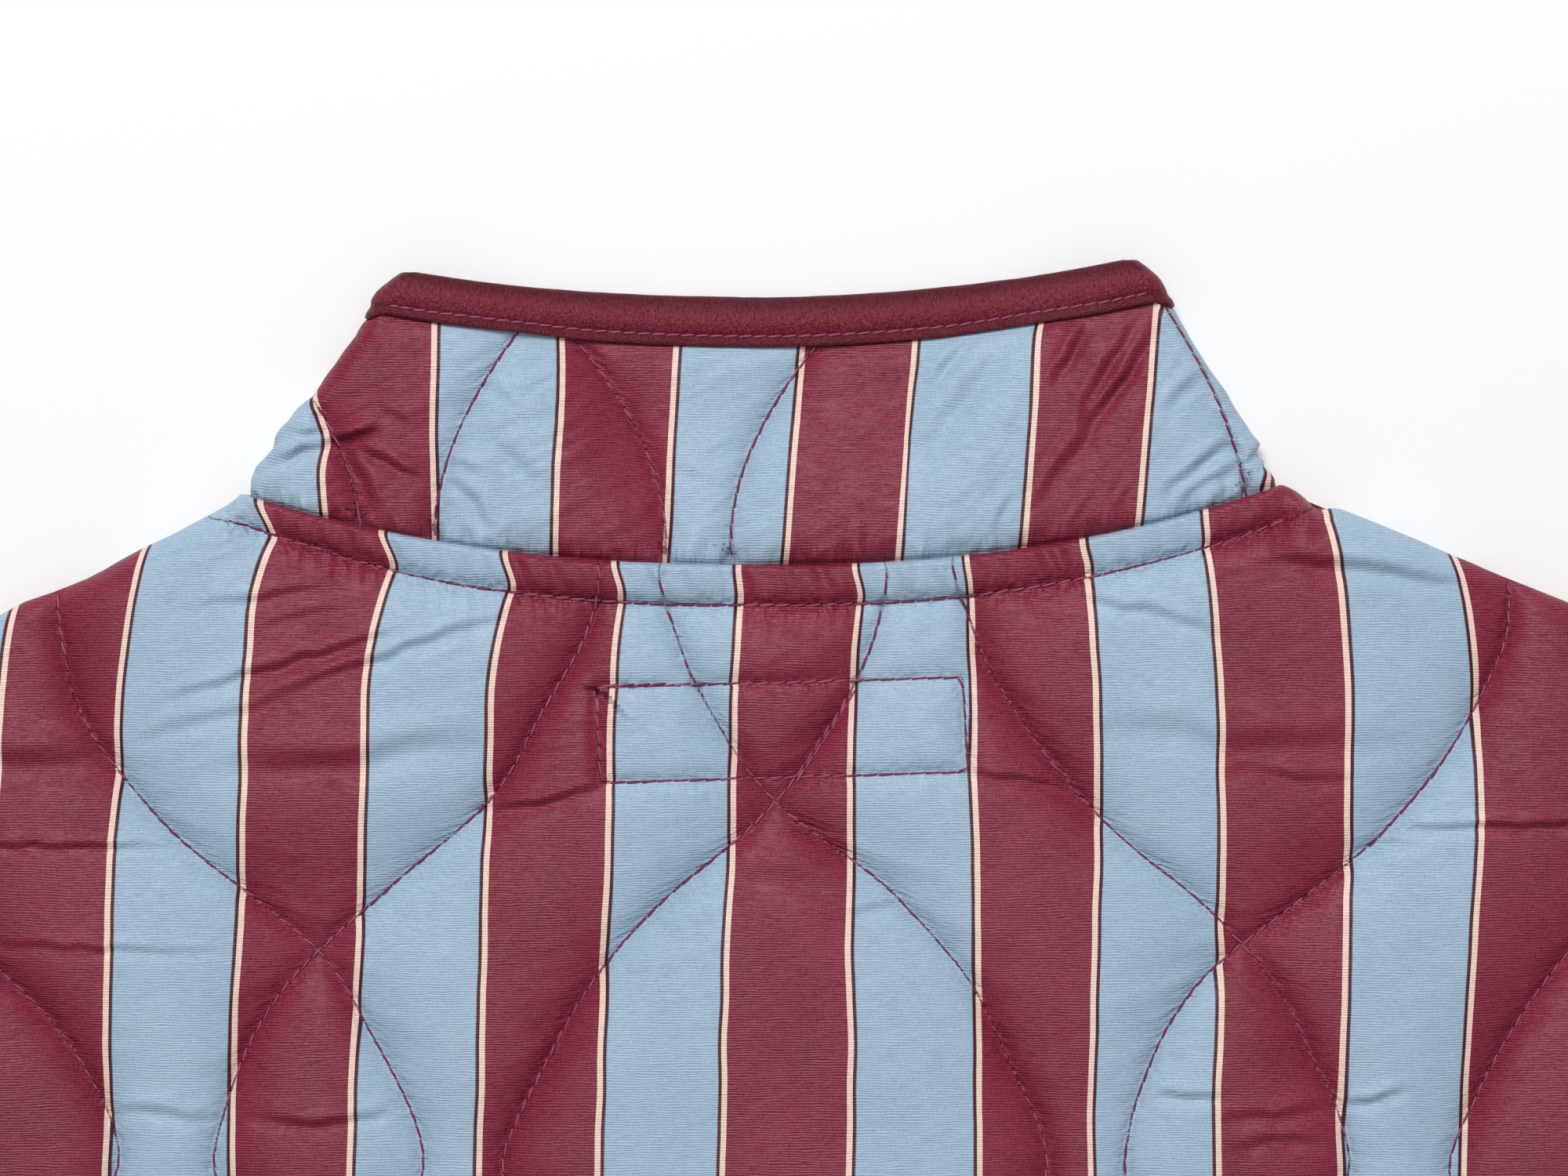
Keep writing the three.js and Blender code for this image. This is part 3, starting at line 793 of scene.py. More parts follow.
# %% [markdown]
# ## The outlines
#
# The outlines are those of the solids: a curved neck seam, sloping shoulders, armholes that
# curve out to the underarm, and nearly straight sides. Sewn necks aren't quite even, so the
# right half of this seam climbs a little more than the left, and the left shoulder dips.

# %% Outlines in plan
LOWER, UPPER = 2.0, 6.6  # heights of the middles of the two layers
MID = (LOWER + UPPER) / 2
FOLD = MID - LOWER
REACH = FOLD + 2.0  # from a fold's axis to the outline
SHOULDER = (250.0, -44.0)
UNDERARM = (292.0, -300.0)
HEM_HALF = 288.0
NECK_LEFT, NECK_RIGHT = 107.4, 104.5
LEFT_RISE, RIGHT_RISE = 14.5, 16.3
FRONT_EDGE = 2.3
FRONT_NECK, FRONT_NECK_DROP, FRONT_NECK_RISE = 100, -70.0, 14.0


def neck_end(x):
    return np.where(x < 0, NECK_LEFT, NECK_RIGHT)


def neck_seam(x):
    left = LEFT_RISE * np.minimum(np.abs(x) / NECK_LEFT, 1) ** 2.35
    right = RIGHT_RISE * np.minimum(np.abs(x) / NECK_RIGHT, 1) ** 2.25
    return np.where(x < 0, left, right)


def shoulder(x):
    """The shoulders' outline, from the neck to the sleeve."""
    out = np.abs(x)
    past = np.clip((out - neck_end(x)) / (SHOULDER[0] - neck_end(x)), 0, 1)
    left = blend(LEFT_RISE, SHOULDER[1], past) - 5.0 * np.sin(np.pi * past) ** 0.5
    right = blend(RIGHT_RISE, SHOULDER[1], past) - 1.9 * hill(out, 112.0, 2.8)
    ripple = uneven(x, 0, (0.5, 11, 1, 21), (0.3, 5, 1, 22))
    return np.where(x < 0, left, right) + ripple * smooth(out, 108, 118)


def body_top(x, neckline=neck_seam):
    """The top edge of the back, or of the fronts with their own neckline."""
    return np.where(np.abs(x) < neck_end(x), neckline(x), shoulder(x))


def front_neckline(x):
    out = np.abs(x)
    curve = blend(FRONT_NECK_DROP, FRONT_NECK_RISE, np.minimum(out / FRONT_NECK, 1) ** 1.6)
    beyond = blend(FRONT_NECK_RISE, body_top(x), np.clip((out - FRONT_NECK) / 6, 0, 1))
    return np.where(out < FRONT_NECK, curve, beyond)


def body_side(y):
    down = np.clip((SHOULDER[1] - y) / (SHOULDER[1] - UNDERARM[1]), 0, 1)
    armhole = blend(SHOULDER[0], UNDERARM[0], down**3)
    side = blend(HEM_HALF, UNDERARM[0], (y - HEM_Y) / (UNDERARM[1] - HEM_Y))
    return np.where(y > UNDERARM[1], armhole, side)


print("layers at", LOWER, "and", UPPER, "mm, folds reach", round(REACH, 2), "mm past their axis")

# %% [markdown]
# ## The stitching on the back
#
# The quilting pattern repeats across the jacket. Above it run the topstitching, which holds
# the folded neck edge down, and a stitched box where a plain label is sewn to the inside.

# %% Quilting
HALF_WAVE = 103.6
QUILT_TOP = -62.1
QUILT_SWING = 39.0
QUILT_REPEAT = 385.6
QUILT_COLUMNS = [  # a line's middle, the way it swings first, and places where it strays
    (-175.3, 1, [(-156, -83), (-150, -88.5), (-145.5, -93), (-140, -101), (-136, -108), (-132, -122)]),
    (-106.4, 1, [
        (-144.5, -5), (-142.8, -18), (-138.8, -32.5), (-132, -42), (-120, -56), (-107.7, -65.5),
        (-91.5, -78.5), (-86, -85.6), (-83, -92.4), (-78.6, -100), (-74.4, -108), (-70, -124),
    ]),
    (-76.8, -1, [
        (-34.3, 1), (-36.6, -12.7), (-43.2, -25), (-48, -33), (-52, -42), (-58.5, -50.2), (-72.2, -61.5),
        (-85, -72.8), (-91.5, -78.5), (-100, -88), (-104, -94.6), (-107.7, -103), (-110.5, -111.5),
        (-113, -124),
    ]),
    (-15.9, -1, [
        (24.2, 0), (22.3, -11.2), (17.5, -24), (9.6, -37), (1.6, -48.6), (-8, -57.4), (-19, -66),
        (-27.1, -74.1), (-34.3, -83), (-40.4, -92.4), (-44.6, -101), (-49, -109.4), (-54.6, -124),
    ]),
    (17.5, 1, [
        (-22.3, 1), (-18.3, -14.3), (-11.2, -30.3), (1.6, -48.8), (9.6, -55), (22.3, -63.7),
        (32, -74), (39.8, -83), (46.7, -97), (51, -106), (57, -124),
    ]),
    (79.7, 1, [
        (37, 2), (41.4, -11.2), (51, -30.3), (60.5, -43.8), (73.7, -57.5), (86.6, -67.2),
        (96.7, -77.5), (104, -87), (110.5, -101), (116.8, -114.7), (118.5, -124),
    ]),
    (114.7, -1, [
        (150.6, -3), (149, -18), (144, -28), (135, -43), (122.2, -57.5), (111.7, -65.6),
        (97.5, -76.5), (89.2, -83), (83, -91.4), (77.1, -104), (73.3, -118), (72, -124),
    ]),
    (180.1, -1, [(162.5, -79), (156, -88), (150, -97), (145, -107), (141, -115), (138, -124)]),
]


def quilting(half_width, low, high, top=QUILT_TOP, shift=0.0, charted=False):
    """The quilting lines that touch a stretch of cloth."""
    waves = []
    for repeat in (-2, -1, 0, 1, 2):
        for middle, way, chart in QUILT_COLUMNS:
            centre = middle + repeat * QUILT_REPEAT + shift
            if abs(centre) < half_width + QUILT_SWING:
                places = chart if charted and repeat == 0 else None
                waves.append(Wave(centre, way * QUILT_SWING, top, HALF_WAVE, low, high, places))
    return waves


back_quilting = quilting(UNDERARM[0], HEM_Y, 14, charted=True)
print(len(back_quilting), "quilting lines on the back")

# %% Topstitching and the stitched box
TOPSTITCH_DROP, TOPSTITCH_DROP_AT_ENDS = 8.3, 6.2
TOPSTITCH_ENDS = (-112.0, 110.5)


def topstitch_height(x):
    to_end = smooth(np.abs(x), 60, 110) * np.where(x < 0, 1, 0.3)
    drop = blend(TOPSTITCH_DROP, TOPSTITCH_DROP_AT_ENDS, to_end)
    past_neck = np.maximum(0, np.abs(x) - neck_end(x))
    return neck_seam(x) - drop + past_neck * np.where(x < 0, 0.2, 0.42) + np.maximum(0, past_neck - 6)


topstitch = Across(topstitch_height, *TOPSTITCH_ENDS, hold=0.9, reach=2.6, pinch=0.3, tuck=2.0)
BOX_CORNERS = [(-35.0, -25.0), (39.5, -23.0), (40.6, -42.2), (-34.0, -44.4)]
label_box = Box(BOX_CORNERS, hold=0.42, reach=2.2, pucker=0.22, gather=3.6)
print("topstitching", round(topstitch.along[-1]), "mm, box", round(label_box.along[-1]), "mm")

# %% Creases of the back
BACK_CREASES = [Crease(*row) for row in (  # path, width and depth
    ([(-101, -27), (-80, -20), (-55, -11.5), (-46, -6)], 1.3, 0.75),
    ([(-121, -27.5), (-104, -22.5), (-72, -13)], 1.2, 0.8),
    ([(-103, -13), (-85, -9)], 1.2, 0.4),
    ([(-117, -9), (-102, -7.2), (-84, -4.2)], 1.2, 0.55),
    ([(-128, -35.5), (-108, -31), (-88, -25.5)], 1.6, 0.4),
    ([(-172, -57.4), (-140, -57.6), (-120, -57.8)], 1.0, 0.8),
    ([(-165, -76.5), (-140, -78.5), (-112, -79)], 1.0, 0.5),
    ([(-170, -40.5), (-133, -41.5)], 3.2, 0.9),
    ([(-112, -43), (-85, -41), (-58, -36.5)], 3.2, 0.8),
    ([(-60, -50.5), (-46, -49), (-33, -45.5)], 1.1, 0.9),
    ([(-50, -39.5), (-38, -37)], 0.9, 0.3),
    ([(-47, -35), (-38, -34)], 0.9, 0.3),
    ([(-46, -28.5), (-38, -28)], 0.9, 0.25),
    ([(40, -43.3), (52, -44), (60, -45.8), (66, -50)], 1.1, 0.9),
    ([(56, -46.5), (62, -48.5), (68, -52)], 0.9, 0.6),
    ([(43, -4), (65, -7.5), (80, -11), (93, -16)], 1.5, 0.75),
    ([(50, -7.5), (60, -13.5)], 1.1, 0.45),
    ([(95, 0.5), (118, -1.2), (132, -3), (143, -6.5)], 1.9, 1.0),
    ([(79, 1.5), (89.5, 1)], 1.0, 0.5),
    ([(90, -41.5), (104, -43.5), (120, -44.5)], 1.6, 0.5),
    ([(64, -35), (90, -36.5), (128, -38)], 3.6, 0.6),
    ([(126, -54.3), (145, -53.6), (178, -53)], 1.0, 0.85),
    ([(118, -57.5), (131, -57)], 1.2, 0.5),
    ([(16, -71), (27, -70)], 1.2, 0.4),
    ([(-12, -66), (14, -66)], 3.4, 0.6),
    ([(-105, -113), (-90, -114.5), (-76, -111.5)], 1.3, 0.8),
    ([(-134, -111), (-112, -113)], 1.4, 0.5),
    ([(79, -108.5), (92, -108.5)], 1.0, 0.9),
    ([(116.5, -110.5), (122, -109.5), (129, -107)], 1.0, 0.9),
    ([(92, -113.5), (104, -112), (116, -110.5)], 1.3, 0.6),
    ([(94, -118.5), (113, -117)], 1.5, 0.5),
    ([(-230, -190), (-170, -201), (-120, -205)], 4.0, 1.2),
    ([(120, -190), (170, -170), (210, -160)], 4.0, 1.1),
    ([(-272, -330), (-230, -352), (-190, -390)], 5.0, 1.4),
    ([(200, -380), (240, -352), (270, -340)], 5.0, 1.3),
    ([(-120, -470), (-40, -481), (40, -480)], 5.0, 1.1),
    ([(90, -560), (150, -556), (220, -545)], 5.0, 1.2),
)]
print(len(BACK_CREASES), "creases on the back")

# %% [markdown]
# ## Where the stripes run
#
# The stripes are almost straight. Near the neck they are drawn sideways, and the folded neck
# edge draws them back a little. They also step where a seam gathers the cloth. The table gives
# how far a stripe moves: at the topstitching, at the folded edge above it, halfway down the
# shoulders and below them, and how quickly the pull fades.

# %% The cloth's map on the body
STRIPE_START = -8.2
STRIPE_DRIFT = [  # x, at the topstitching, at the folded edge, fade, halfway down, below
    (-134, 9.0, 9.0, 26, 1.2, 0.4),
    (-107, 5.8, 3.2, 20, 2.0, -0.3),
    (-82, 6.2, 3.9, 13, 2.4, 0.0),
    (-57, 5.0, 3.2, 12, 1.9, -0.1),
    (-32, 2.3, 0.8, 14, 2.4, -0.1),
    (-7, 1.9, 1.3, 14, 1.0, -1.4),
    (16, 2.8, 1.1, 14, 0.7, 0.7),
    (42, -1.4, -2.0, 12, 0.1, 0.9),
    (67, -2.0, -3.2, 16, 0.9, -0.7),
    (92, -3.4, -3.8, 19, 0.0, -0.8),
    (118, -4.2, -5.1, 12, 1.3, 0.0),
    (145, -8.7, -8.7, 14, 2.0, -1.7),
]


def body_map(x, y, lines):
    """Where a place on the body lies on the striped cloth."""
    stitch, fold, fade, mid, low = looked_up(STRIPE_DRIFT, x)
    below = neck_seam(x) - 7.5 - y
    drift = blend(stitch, fold, smooth(-below, 0.5, 7)) * fading(below, fade)
    drift = drift + blend(mid, low, smooth(-y, 45, 120))
    drift = drift + uneven(x, y, (0.3, 30, 17, 5), (0.2, 19, 9, 6)) + jogs(x, y, lines)
    return np.stack([x - drift - STRIPE_START, y + uneven(x, y, (0.4, 30, 30, 8))], -1)


# %% [markdown]
# ## The back
#
# The back is one panel. At the neck its edge is folded over the collar's base and stands a
# little proud, because the seam's allowances lie inside it. At the shoulders and below the
# underarms it rounds over to meet the fronts. The grid is finest in the upper middle.

# %% Edges of the body
GRIPPED = 1.7  # height above the stitched level of cloth that a binding grips
SLOPED = math.cos(math.radians(22))  # takes a height below a shoulder to the distance from it
UNTAPED = 12.0  # the flat inner face comes this near to a bound edge
STRAIGHT_ROW, TOP_ROW = -190, -6


def round_over(distance, radius):
    """Share of the full height at a distance from an outline that rounds away."""
    inside = np.clip(distance / radius, 0, 1)
    return np.sqrt(1 - (1 - inside) ** 2)


def gripped(height, to_edge, pressed=GRIPPED):
    """Presses the cloth flat where a binding grips it."""
    return blend(height, pressed, smooth(to_edge, 15, 4))


def side_rounding(x, y):
    """Share of the full height near the armholes and, below them, near the folded sides."""
    to_side = body_side(y) - np.abs(x)
    folded_side = smooth(y, UNDERARM[1] + 16, UNDERARM[1])
    at_seam = 1 - 0.35 * np.exp(-to_side / 2.0) * (1 - folded_side)
    return blend(1, round_over(to_side, REACH), folded_side) * at_seam


def row_height(row, top):
    """Rows are straight low down on the body, and follow its top edge higher up."""
    return row + top * smooth(row, STRAIGHT_ROW, TOP_ROW)


# %% Height of the back
BAND = 3.6  # height of the folded neck edge above the stitched level


def puffed_back(x, y):
    """The back's outer face above the stitched level, before it rounds away at its edges."""
    cloth = relief(x, y, [*back_quilting, label_box], seed=1) + creased(x, y, BACK_CREASES)
    cloth = cloth + uneven(x, y, (0.8, 60, 50, 12), (0.35, 24, 17, 13))
    by_neck = 0.05 + 0.13 * fading(neck_seam(x) - 8 - y, 14)
    cloth = cloth + by_neck * ripples(x, y, 22, 51) * smooth(y, -140, -120)
    return np.maximum(cloth, -0.4)


def neck_band(x, y, cloth):
    """The same with the folded and topstitched neck edge, and how far a place is in it."""
    off, along = topstitch.measure(x, y)
    at_neck = smooth(neck_end(x) + 5 - np.abs(x), 0, 9)
    pinned = blend(cloth, cloth * (1 - 0.85 * fading(-off, 4.0)), at_neck)
    ridges = 0.55 * wander(along / 2.4 + 0.2 * off, off / 9, 31) + 0.3 * wander(along / 6, 0, 32)
    ridges = ridges * smooth(off, 0.3, 2.5)
    tucks = np.cos(along / STITCH_PITCH * 2 * np.pi + 0.5) * (0.3 + 0.25 * wander(along / 17, 0, 38))
    tucks = tucks * (1 + 0.9 * hill(x, -72, 28))
    ridges = ridges - tucks * fading(off, 2.6)
    band = (BAND + ridges) * (1 - 0.8 * fading(off, 1.7))
    below = (0.3 * wander(along / 3.3, 3, 33) - 0.5 * tucks) * fading(-off, 3.0)
    in_band = smooth(off, -0.4, 0.4) * at_neck
    return blend(pinned + below * at_neck, band, in_band), at_neck


def back_height(x, y):
    """Height of the back's outer face above the floor."""
    height, at_neck = neck_band(x, y, puffed_back(x, y))
    past_shoulder = (shoulder(x) - y) * SLOPED
    seam_dip = blend(0.45, 1, round_over(past_shoulder, 9))
    height = gripped(height, y - HEM_Y) * blend(seam_dip, 1, at_neck)
    rounded = blend(round_over(past_shoulder, REACH), 1, at_neck) * side_rounding(x, y)
    rounded = rounded * blend(1, blend(0.15, 1, round_over(neck_seam(x) - y, 1.4)), at_neck)
    low = blend(MID + 0.2, MID + 1.4, at_neck)
    return low + (UPPER + STITCHED + height - low) * rounded


def back_surface(column, row):
    y = row_height(row, body_top(column))
    x = column * body_side(y) / SHOULDER[0]
    y = row_height(row, body_top(x))
    lines = [*back_quilting, label_box, topstitch]
    points = np.stack([x, y, back_height(x, y)], -1)
    return {"points": points, "cloth": body_map(x, y, lines), **seam_numbers(x, y, lines)}


def back_lining(points):
    """The inner face: near the fronts, and higher at the hem, where the binding goes round."""
    inner = np.where(points[:, 1] < HEM_Y + UNTAPED, UPPER - 1.0, MID + 0.15)
    return np.minimum(points[:, 2] - 0.4, inner)


# %% Back panel
FRINGE = 7.0
CLOSE_X, CLOSE_ROW, CLOSE_CUTS = 165, -136, 5
edge_columns = SHOULDER[0] - np.array([FRINGE, 4.2, 2.4, 1.2, 0.4, 0])
inner_columns = in_turn((0, 160, 5.0), (160, SHOULDER[0] - FRINGE, 5.6))[:-1]
back_columns = both_ways(np.concatenate([inner_columns, edge_columns]))
back_rows = np.append(in_turn((HEM_Y, -135, 5.6), (-135, -10, 5.0)), [-6.0, -3.0, -1.6, -0.7, 0.0])


def closely_seen(column, row):
    return abs(column) < CLOSE_X and row > CLOSE_ROW


back_mesh = cloth_grid(back_columns, back_rows, back_surface, closely_seen, CLOSE_CUTS, back_lining)
back = show_quilted(tidy_up(back_mesh), "back")

# %% [markdown]
# ## The fronts
#
# The two fronts lie face down under the back, so what is seen of them is their edge at the
# sides, and from below a quilted face that the floor has pressed flat between its seams.

# %% Fronts
FRONT_PUFF = 2.5
front_quilting = quilting(UNDERARM[0], HEM_Y, 14, shift=96.4)


def front_height(x, y):
    """Height of a front's outer face above the floor, which it rests on."""
    cloth = relief(x, y, front_quilting, FRONT_PUFF, seed=2) + uneven(x, y, (0.4, 50, 50, 14))
    cloth = gripped(gripped(cloth, y - HEM_Y), np.abs(x) - FRONT_EDGE)
    past_top = (body_top(x, front_neckline) - y) * SLOPED
    rounded = round_over(past_top, REACH) * side_rounding(x, y)
    high = MID - 0.2
    return np.maximum(0, high + (LOWER - STITCHED - cloth - high) * rounded)


def front_surface(side):
    def surface(column, row):
        y = row_height(row, body_top(side * column, front_neckline))
        share = (column - FRONT_EDGE) / (SHOULDER[0] - FRONT_EDGE)
        x = side * blend(FRONT_EDGE, body_side(y), share)
        cloth = np.stack([x - STRIPE_START + jogs(x, y, front_quilting), y], -1)
        points = np.stack([x, y, front_height(x, y)], -1)
        return {"points": points, "cloth": cloth, **seam_numbers(x, y, front_quilting)}

    return surface


def front_lining(points):
    """The inner face: near the back, and lower at the bound edges."""
    to_edge = np.minimum(points[:, 1] - HEM_Y, np.abs(points[:, 0]) - FRONT_EDGE)
    return np.maximum(points[:, 2] + 0.4, np.where(to_edge < UNTAPED, LOWER + 1.0, MID - 0.15))


front_columns = np.append(spread(FRONT_EDGE, SHOULDER[0] - FRINGE, 3.6)[:-1], edge_columns)
front_rows = np.append(spread(HEM_Y, -8, 3.6), [-5.0, -3.0, -1.6, -0.7, 0.0])
fronts = {}
for side, word in SIDES:
    mesh = cloth_grid(front_columns, front_rows, front_surface(side), lining=front_lining)
    fronts[word] = show_quilted(tidy_up(mesh), f"front_{word}")

# %% [markdown]
# ## The sleeves
#
# A sleeve is a flattened tube, narrower at the cuff, sewn to the armhole. Its stripes run
# from the armhole to the cuff. The grid starts at the seam under the arm, crosses the lower
# layer, turns over in the top fold and comes back over the upper layer. Its columns are
# millimetres of cloth from the top fold, negative underneath.

# %% Sleeve form
SLEEVE_LENGTH, CUFF = 600.0, 125.0
FALL = math.radians(32)
SHOULDER_SLOPE = math.atan2(59, 144)
OFF_SHOULDER = (math.sin(SHOULDER_SLOPE), math.cos(SHOULDER_SLOPE))
OFF_UNDERARM = (0.4, -0.92)
DOWN_SLEEVE = np.array([math.cos(FALL), -math.sin(FALL)])
ACROSS_CUFF = np.array([-math.sin(FALL), -math.cos(FALL)])
TOP_AXIS = SHOULDER[1] - REACH / math.cos(SHOULDER_SLOPE)
FOLD_ARC = REACH * math.pi / 2
UPPER_ARM, WRIST = 247.0, 116.4  # flat widths of the sleeve at its two ends
SLEEVE_PUFF = 4.2


def sleeve_ends(share):
    """The ends of the line down the sleeve from a share of the armhole's height."""
    y = np.maximum(blend(UNDERARM[1], TOP_AXIS, share), UNDERARM[1] + REACH)
    arm = np.stack([body_side(y) + 0.2, y], -1)
    cuff = np.array(SHOULDER) + DOWN_SLEEVE * SLEEVE_LENGTH
    return arm, cuff + ACROSS_CUFF * blend(CUFF - REACH, REACH, share)[:, None]


def sleeve_frame(around, part):
    """The right sleeve's middle, the way its outer face looks, the turn from the flat layers,
    0, to its side, 1, and its length, at places round it and down it."""
    away = np.abs(around)
    share = 1 - np.clip((away - FOLD_ARC) / UPPER_ARM, 0, 1)
    at_top = share > 0.5
    turn = np.where(at_top, 1 - away / FOLD_ARC, (away - FOLD_ARC - UPPER_ARM) / FOLD_ARC)
    turn = np.clip(turn, 0, 1)
    arm, cuff = sleeve_ends(share)
    length = np.hypot(*(cuff - arm).T)
    edge = (cuff - arm) / length[:, None]
    square = np.stack([-edge[:, 1], edge[:, 0]], -1) * np.where(at_top, 1, -1)[:, None]
    at_arm = np.where(at_top[:, None], OFF_SHOULDER, OFF_UNDERARM)
    bulge = blend(at_arm, square, np.minimum(part * 10, 1)[:, None])
    bulge = bulge / np.hypot(*bulge.T)[:, None]
    angle = turn * math.pi / 2
    up = np.where(around < 0, -1.0, 1.0) * np.cos(angle)
    middle = np.column_stack([blend(arm, cuff, part[:, None]), np.full_like(up, MID)])
    return middle, np.column_stack([bulge * np.sin(angle)[:, None], up]), turn, length


def rescaled(around, old, new):
    """Takes places round a sleeve from one flat width to another. The folds stay as they are."""
    away = np.abs(around)
    flat = np.clip((away - FOLD_ARC) / old, 0, 1) * new
    return np.sign(around) * (np.minimum(away, FOLD_ARC) + flat + np.maximum(0, away - FOLD_ARC - old))


print("a sleeve's flat width goes from", UPPER_ARM, "to", WRIST, "mm between its folds")


# %% Sleeves
sleeve_quilting = quilting(260, -620, 10, top=-34.0, shift=48.0)


def sleeve_surface(side):
    def surface(around, part):
        middle, out, turn, length = sleeve_frame(around, part)
        u, v = rescaled(around, UPPER_ARM, blend(UPPER_ARM, WRIST, part)), -part * length
        cloth = relief(u, v, sleeve_quilting, SLEEVE_PUFF, seed=3) + uneven(u, v, (0.5, 55, 55, 15 + side))
        reach = FOLD + STITCHED + np.minimum(cloth, blend(4.5, 2.7, turn))
        reach = reach * (1 - 0.35 * fading(-v, 2.0))
        reach = gripped(reach, (1 - part) * length, FOLD + STITCHED + GRIPPED)
        points = on_floor((middle + out * reach[:, None]) * (side, 1, 1))
        cloth_map = np.stack([u + jogs(u, v, sleeve_quilting), v], -1)
        return {"points": points, "cloth": cloth_map, **seam_numbers(u, v, sleeve_quilting)}

    return surface


def around_tube(width, fold_step, flat_step):
    """Places round a flattened tube, closer together in its folds."""
    ends = (0, FOLD_ARC, FOLD_ARC + width, 2 * FOLD_ARC + width)
    steps = (fold_step, flat_step, fold_step)
    return both_ways(in_turn(*zip(ends, ends[1:], steps)))


down_sleeve = np.concatenate([[0, 0.001, 0.003, 0.006, 0.011], spread(0.018, 0.985, 0.0072), [0.992, 1.0]])
for side, word in SIDES:
    mesh = cloth_grid(around_tube(UPPER_ARM, 1.1, 4.2), down_sleeve, sleeve_surface(side))
    show_quilted(tidy_up(mesh, join=True), f"sleeve_{word}", CLOTH_WALL)

# %% [markdown]
# ## The collar
#
# The stand collar is one band. Its back lies upwards, and in a fold at each end the band
# turns under and runs back to the centre front. A station says how far along the band a place
# is: up to 1 across the back, up to 2 round the fold, and up to 3 along the front. A rise says
# how far it is from the neck seam, 0, to the bound edge, 1.

# %% Collar form
COLLAR_WALL = 1.8  # half of its thickness
COLLAR_REACH = FOLD + COLLAR_WALL
COLLAR_TAPED = 0.9  # the same under the binding
LEAN = (0.832, 0.555)  # the way in which the fold on the right looks
FOLD_FOOT = 13.0
FOLD_OUTLINE = [  # y, and the x of the outline on the left and on the right
    (13.0, -107.6, 105.9),
    (15.5, -107.0, 105.3),
    (17.6, -105.5, 103.7),
    (19.0, -104.1, 102.0),
    (19.9, -103.4, 100.7),
    (20.8, -102.9, 101.2),
    (22.4, -102.3, 101.9),
    (24.5, -101.0, 100.2),
    (29.6, -97.6, 97.0),
    (34.3, -93.2, 94.3),
    (38.1, -90.1, 91.6),
    (44.5, -85.6, 87.6),
    (52.2, -82.2, 83.8),
    (59.6, -76.6, 78.9),
    (64.0, -73.2, 75.5),
]
TUCK = 0.8  # how far the collar runs in under the folded neck edge
COLLAR_HEIGHT = 52.0
BACK_TOP, LEFT_TOP, RIGHT_TOP = 52.7, 58.0, 60.5  # of the collar without its binding
FRONT_DIP = -17.0  # height of the collar's edge at the centre front
TAPE_DEPTH = 7.9  # how far down the collar its binding reaches


def by_side(station, left, right):
    return np.where(station < 0, left, right)


def fold_axis(station, y):
    """How far from the centre back the middle of the fold is, at a height on the collar."""
    left, right = looked_up(FOLD_OUTLINE, y)
    return by_side(station, -left, right) - COLLAR_REACH / LEAN[0]


def collar_top(station):
    """Height of the collar's edge, without the cap of its binding, across the back."""
    across = np.minimum(np.abs(station), 1)
    left, right = blend(BACK_TOP, LEFT_TOP, across**2), blend(BACK_TOP, RIGHT_TOP, across**1.7)
    return by_side(station, left, right)


def back_collar_middle(x, y):
    """Height of the middle of the collar's back, which sinks to the floor past the front."""
    front_top = blend(FRONT_DIP, 57.2, np.minimum(np.abs(x) / 73.4, 1) ** 1.5)
    return blend(UPPER, LOWER, smooth(y - np.maximum(front_top, neck_seam(x)), 3, 38))


def collar_frame(station, rise):
    """The middle of the cloth, the way its outer face looks, and the cloth's own place."""
    part = np.abs(station)
    side = by_side(station, -1.0, 1.0)
    zeros = np.zeros_like(part)

    on_back = np.minimum(part, 1)
    foot_x = fold_axis(station, FOLD_FOOT)
    foot = neck_seam(side * foot_x) - TUCK
    base = neck_seam(side * foot_x * on_back) - TUCK
    top = collar_top(station)
    y = blend(base, top, rise)
    axis = fold_axis(station, y)
    x = side * on_back * axis
    slope_x = (back_collar_middle(x + 1, y) - back_collar_middle(x - 1, y)) / 2
    slope_y = (back_collar_middle(x, y + 1) - back_collar_middle(x, y - 1)) / 2
    back_at = np.stack([x, y, back_collar_middle(x, y)], -1)
    back_out = np.stack([-slope_x, -slope_y, zeros + 1], -1)

    angle = np.clip(part - 1, 0, 1) * math.pi
    fold_out = np.stack([side * LEAN[0] * np.sin(angle), LEAN[1] * np.sin(angle), np.cos(angle)], -1)
    tightened = np.stack([zeros + 1, 1 - rise**6, zeros + 1], -1)
    fold_at = np.stack([x, y, zeros + MID], -1) + fold_out * tightened * FOLD

    share = np.clip(3 - part, 0, 1)
    under_x = blend(FRONT_EDGE, axis, share)
    under_base = blend(front_neckline(blend(FRONT_EDGE, foot_x, share)) + 0.5, foot, share**8)
    under_y = blend(under_base, blend(FRONT_DIP, top, share**1.5), rise)
    under_at = np.stack([side * under_x, under_y, zeros + LOWER], -1)
    under_out = np.stack([zeros, zeros, zeros - 1], -1)

    turned, beneath = (part > 1)[:, None], (part > 2)[:, None]
    at = np.where(beneath, under_at, np.where(turned, fold_at, back_at))
    out = np.where(beneath, under_out, np.where(turned, fold_out, back_out))
    fold_line = np.stack([side * axis, y], -1)
    lean = np.stack([side * LEAN[0], zeros + LEAN[1]], -1)
    inwards = under_at[:, :2] - fold_line
    mirrored = inwards - 2 * (inwards * lean).sum(1, keepdims=True) * lean
    flat = fold_line + lean * (angle * FOLD)[:, None] + np.where(beneath, mirrored, 0)
    cloth = np.where(turned, flat, np.stack([x, y], -1))
    return at, out / np.linalg.norm(out, axis=1)[:, None], cloth


